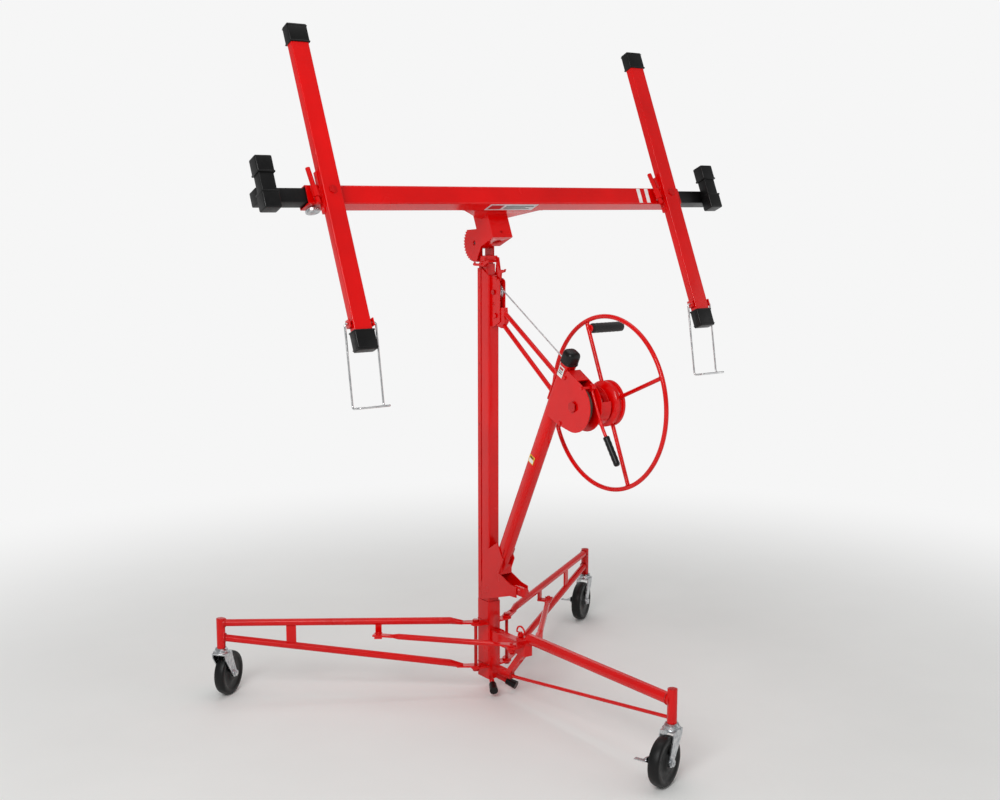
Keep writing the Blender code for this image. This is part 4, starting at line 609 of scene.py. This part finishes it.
post_side = Matrix.Rotation(-pi / 2, 4, "Z") @ Matrix.Rotation(pi / 2, 4, "X")
on_left = at_post @ Matrix.Translation((-POST_HALF - 0.0001, 0, 0)) @ post_side
label("post_label_upper", "base", on_left @ Matrix.Translation((0, 0.752, 0)), 0.022, 0.030, LABEL_WHITE,
      ((-0.36, 0.36, 0.18, 0.40, LABEL_RED), (-0.36, 0.30, 0.00, 0.08, LABEL_BLACK),
       (-0.36, 0.36, -0.18, -0.10, LABEL_BLACK)))
label("post_label_lower", "base", on_left @ Matrix.Translation((0, 0.469, 0)), 0.024, 0.024, LABEL_YELLOW,
      ((-0.40, 0.40, -0.40, 0.05, LABEL_WHITE), (-0.32, 0.32, 0.16, 0.34, LABEL_BLACK)))

# ---- cradle ------------------------------------------------------------------------------------
# In this place +Y runs up along the arms and +Z stands out of the panel's plane.
TILT = Matrix.Rotation(radians(66.7), 4, "X")
cradle = Matrix.Translation(JOINT_AT["cradle_tilt"]) @ TILT
BAR_Y, BAR_Z, BAR_B = 0.069, 0.149, 0.025
BAR_TOP = BAR_Z + BAR_B
ARM_X, ARM_B, ARM_LOW_END, ARM_HIGH_END = 0.562, 0.025, -0.409, 0.446
ARM_Z0 = BAR_TOP + 0.0036
ARM_Z1 = ARM_Z0 + 0.025
under_bar = cradle @ Matrix.Translation((0, BAR_Y - BAR_B - 0.0001, BAR_Z)) @ Matrix.Rotation(pi / 2, 4, "X")
label("crossbar_label_centre", "cradle", under_bar @ Matrix.Translation((0.010, 0, 0)), 0.160, 0.038,
      LABEL_SILVER,
      ((-0.46, -0.20, -0.34, 0.34, LABEL_RED), (-0.14, 0.44, 0.12, 0.26, LABEL_BLACK),
       (-0.14, 0.30, -0.10, 0.00, LABEL_BLACK), (-0.14, 0.40, -0.30, -0.20, LABEL_BLACK)))
# Two plain white strips on the crossbar's front face near the arm: unprinted white film, nothing on it.
for word, x in (("inner", 0.462), ("outer", 0.492)):
    front_of_bar = cradle @ Matrix.Translation((x, BAR_Y, BAR_TOP + 0.0001))
    label(f"crossbar_label_{word}", "cradle", front_of_bar, 0.013, 0.044, LABEL_WHITE)
bm = bmesh.new()
for y in (BAR_Y - 0.022, BAR_Y + 0.022):
    for side in (-1, 1):
        start, end = Vector((side * 0.134, y, BAR_Z - BAR_B)), Vector((side * 0.040, y, BAR_Z - BAR_B))
        seam(bm, cradle @ start, cradle @ end, 0.0020)
piece("gusset_welds", bm, "cradle", RED_ENAMEL_POOLED)

HOOK_WIRE_R, HOOK_IN, HOOK_OUT, HOOK_DROP, HOOK_AHEAD, HOOK_BEND = 0.0028, 0.029, 0.043, 0.205, 0.034, 0.008
HOOK_LEAN = radians(14.0)
OUTRIGGER_IN, OUTRIGGER_OUT, OUTRIGGER_B = 0.330, 0.752, 0.019
PAD_X, PAD_THICK, PAD_Y0, PAD_Y1 = 0.732, 0.032, BAR_Y - 0.045, BAR_Y + 0.085
PAD_Z0, PAD_Z1 = ARM_Z1 - PAD_THICK, ARM_Z1
KNOB_X, KNURLS = 0.600, 24
KNOB = [(-0.0035, 0.0), (0.0005, 0.0), (0.0005, 0.0088), (0.0055, 0.0092), (0.0060, 0.0172), (0.0070, 0.0186),
        (0.0130, 0.0186), (0.0140, 0.0174), (0.0140, 0.0090), (0.0132, 0.0080), (0.0132, 0.0)]
for side, word in ((-1, "left"), (1, "right")):
    arm_at = cradle @ Matrix.Translation((side * ARM_X, BAR_Y, 0))
    for end, at, outward in (("lower", ARM_LOW_END, -1), ("upper", ARM_HIGH_END, 1)):
        far, mouth = at + outward * 0.0063, at - outward * 0.045
        bm = bmesh.new()
        # an end cap: a moulded sleeve, the lip at its mouth and a rib near its end
        for y0, y1, proud, ease, segments in (
                (mouth, far, 0.0028, 0.0032, 4),
                (mouth - outward * 0.0001, mouth + outward * 0.0045, 0.0036, 0.0016, 2),
                (far - outward * 0.0070, far - outward * 0.0045, 0.0034, 0.0010, 2)):
            block(bm, (-ARM_B - proud, y0, ARM_Z0 - proud), (ARM_B + proud, y1, ARM_Z1 + proud),
                  arm_at, ease, segments)
        piece(f"{word}_{end}_end_cap", bm, f"{word}_arm", CAP_VINYL, [f"{word}_arm_{end}_cap"])
    # rivet heads where the saddle is fixed
    bm = bmesh.new()
    for s in (-1, 1):
        for y in (-0.040, 0.040):
            head = arm_at @ Vector((s * 0.0282, y, ARM_Z0 + 0.004))
            dome(bm, head, arm_at.to_3x3() @ Vector((s, 0, 0)), 0.0036, 0.0014)
    piece(f"{word}_saddle_rivets", bm, f"{word}_arm", RED_ENAMEL_POOLED)

    # hook: one round wire, bent to a stirrup that carries the edge of the panel
    hook = Matrix.Translation(JOINT_AT[f"{word}_hook_swing"]) @ TILT
    down, ahead = Vector((0, -cos(HOOK_LEAN), -sin(HOOK_LEAN))), Vector((0, -sin(HOOK_LEAN), cos(HOOK_LEAN)))
    corner = Vector((HOOK_OUT, 0, 0))
    foot = corner + down * HOOK_DROP
    half_path = [Vector((HOOK_IN, 0, 0)), corner, foot, foot + ahead * HOOK_AHEAD]
    path = [Vector((-p.x, p.y, p.z)) for p in half_path] + half_path[::-1]
    bm = bmesh.new()
    wire(bm, [hook @ p for p in bend(path, HOOK_BEND)], HOOK_WIRE_R, 14)
    piece(f"{word}_panel_hook", bm, f"{word}_hook", WIRE_STEEL, [f"{word}_hook"])

    # outrigger: square tube, its pad's stem and core, and then the two rubber cushions
    bm = bmesh.new()
    block(bm, (side * OUTRIGGER_IN, BAR_Y - OUTRIGGER_B, BAR_Z - OUTRIGGER_B),
          (side * OUTRIGGER_OUT, BAR_Y + OUTRIGGER_B, BAR_Z + OUTRIGGER_B), cradle, 0.0030)
    pad = cradle @ Matrix.Translation((side * PAD_X, 0, 0))
    block(bm, (-0.018, BAR_Y - 0.015, BAR_Z + OUTRIGGER_B - 0.002), (0.018, BAR_Y + 0.015, PAD_Z0 + 0.002),
          pad, 0.0012, 2)
    block(bm, (-0.0198, PAD_Y0 + 0.002, PAD_Z0 + 0.0002), (0.0198, PAD_Y1 - 0.002, PAD_Z1 - 0.0002),
          pad, 0.0022)
    piece(f"{word}_outrigger_tube", bm, f"{word}_outrigger", BLACK_POWDER, [f"{word}_outrigger"])
    bm = bmesh.new()
    for at, outward in ((PAD_Y0, -1), (PAD_Y1, 1)):
        far, mouth = at + outward * 0.003, at - outward * 0.042
        block(bm, (-0.0228, mouth, PAD_Z0 - 0.0028), (0.0228, far, PAD_Z1 + 0.0028), pad, 0.0040, 5)
        block(bm, (-0.0236, mouth, PAD_Z0 - 0.0036), (0.0236, mouth + outward * 0.005, PAD_Z1 + 0.0036),
              pad, 0.0015, 2)
    piece(f"{word}_pad_cushions", bm, f"{word}_outrigger", CAP_VINYL)

    # knob: a knurled zinc disc on its screw
    knob_at = cradle @ Matrix.Translation((side * KNOB_X, BAR_Y - BAR_B - 0.0003, BAR_Z))
    knob_at = knob_at @ Matrix.Rotation(-pi / 2, 4, "Z")
    bm = bmesh.new()
    turned(bm, KNOB, knob_at, 48)
    for k in range(KNURLS):
        ridge = knob_at @ Matrix.Rotation(2 * pi * k / KNURLS, 4, "X")
        block(bm, (0.0068, -0.0012, 0.0176), (0.0132, 0.0012, 0.0190), ridge, 0.0004, 1)
    piece(f"{word}_knob_disc", bm, f"{word}_knob", ZINC, [f"{word}_knob"])

# ---- studio ------------------------------------------------------------------------------------
FLOOR_HALF, FLOOR_BELOW = 40.0, 0.0005  # the floor lies just under the wheels
bm = bmesh.new()
bmesh.ops.create_grid(bm, x_segments=4, y_segments=4, size=FLOOR_HALF)
floor_mesh = bpy.data.meshes.new("floor")
bm.to_mesh(floor_mesh)
bm.free()
floor_mesh.materials.append(FLOOR_PAINT)
floor = shown("floor", floor_mesh)
floor.location = (0.0, 0.0, -FLOOR_BELOW)


def softbox(name, at, towards, size, power):
    """A square soft light."""
    lamp = shown(name, bpy.data.lights.new(name, "AREA"))
    lamp.data.shape, lamp.data.size, lamp.data.energy = "SQUARE", size, power
    aim = (Vector(towards) - Vector(at)).to_track_quat("-Z", "Y")
    lamp.matrix_world = Matrix.Translation(at) @ aim.to_matrix().to_4x4()


softbox("key_light", (-3.2, -2.4, 3.2), (0, 0, 0.8), size=2.0, power=100)
softbox("fill_light", (3.4, -3.0, 2.0), (0, 0, 0.8), size=2.6, power=14)
softbox("top_light", (0.4, 0.6, 4.4), (0, 0, 0.8), size=3.0, power=30)
softbox("back_light", (1.6, 4.2, 2.6), (0, 0, 0.9), size=2.6, power=16)

# The backdrop is white to the camera, and lights the object at two fifths of that.
BACKDROP_SEEN, BACKDROP_GIVES = 1.0, 0.40
world = bpy.data.worlds.new("studio")
world.use_nodes = True
sky = world.node_tree.nodes["Background"]
sky.inputs["Color"].default_value = linear(STUDIO_WHITE)
seen = add_node(world.node_tree, "ShaderNodeLightPath")
strength = add_node(world.node_tree, "ShaderNodeMapRange", {"Value": seen.outputs["Is Camera Ray"],
                                                            "To Min": BACKDROP_GIVES, "To Max": BACKDROP_SEEN})
world.node_tree.links.new(strength.outputs["Result"], sky.inputs["Strength"])
bpy.context.scene.world = world

bpy.context.view_layer.update()
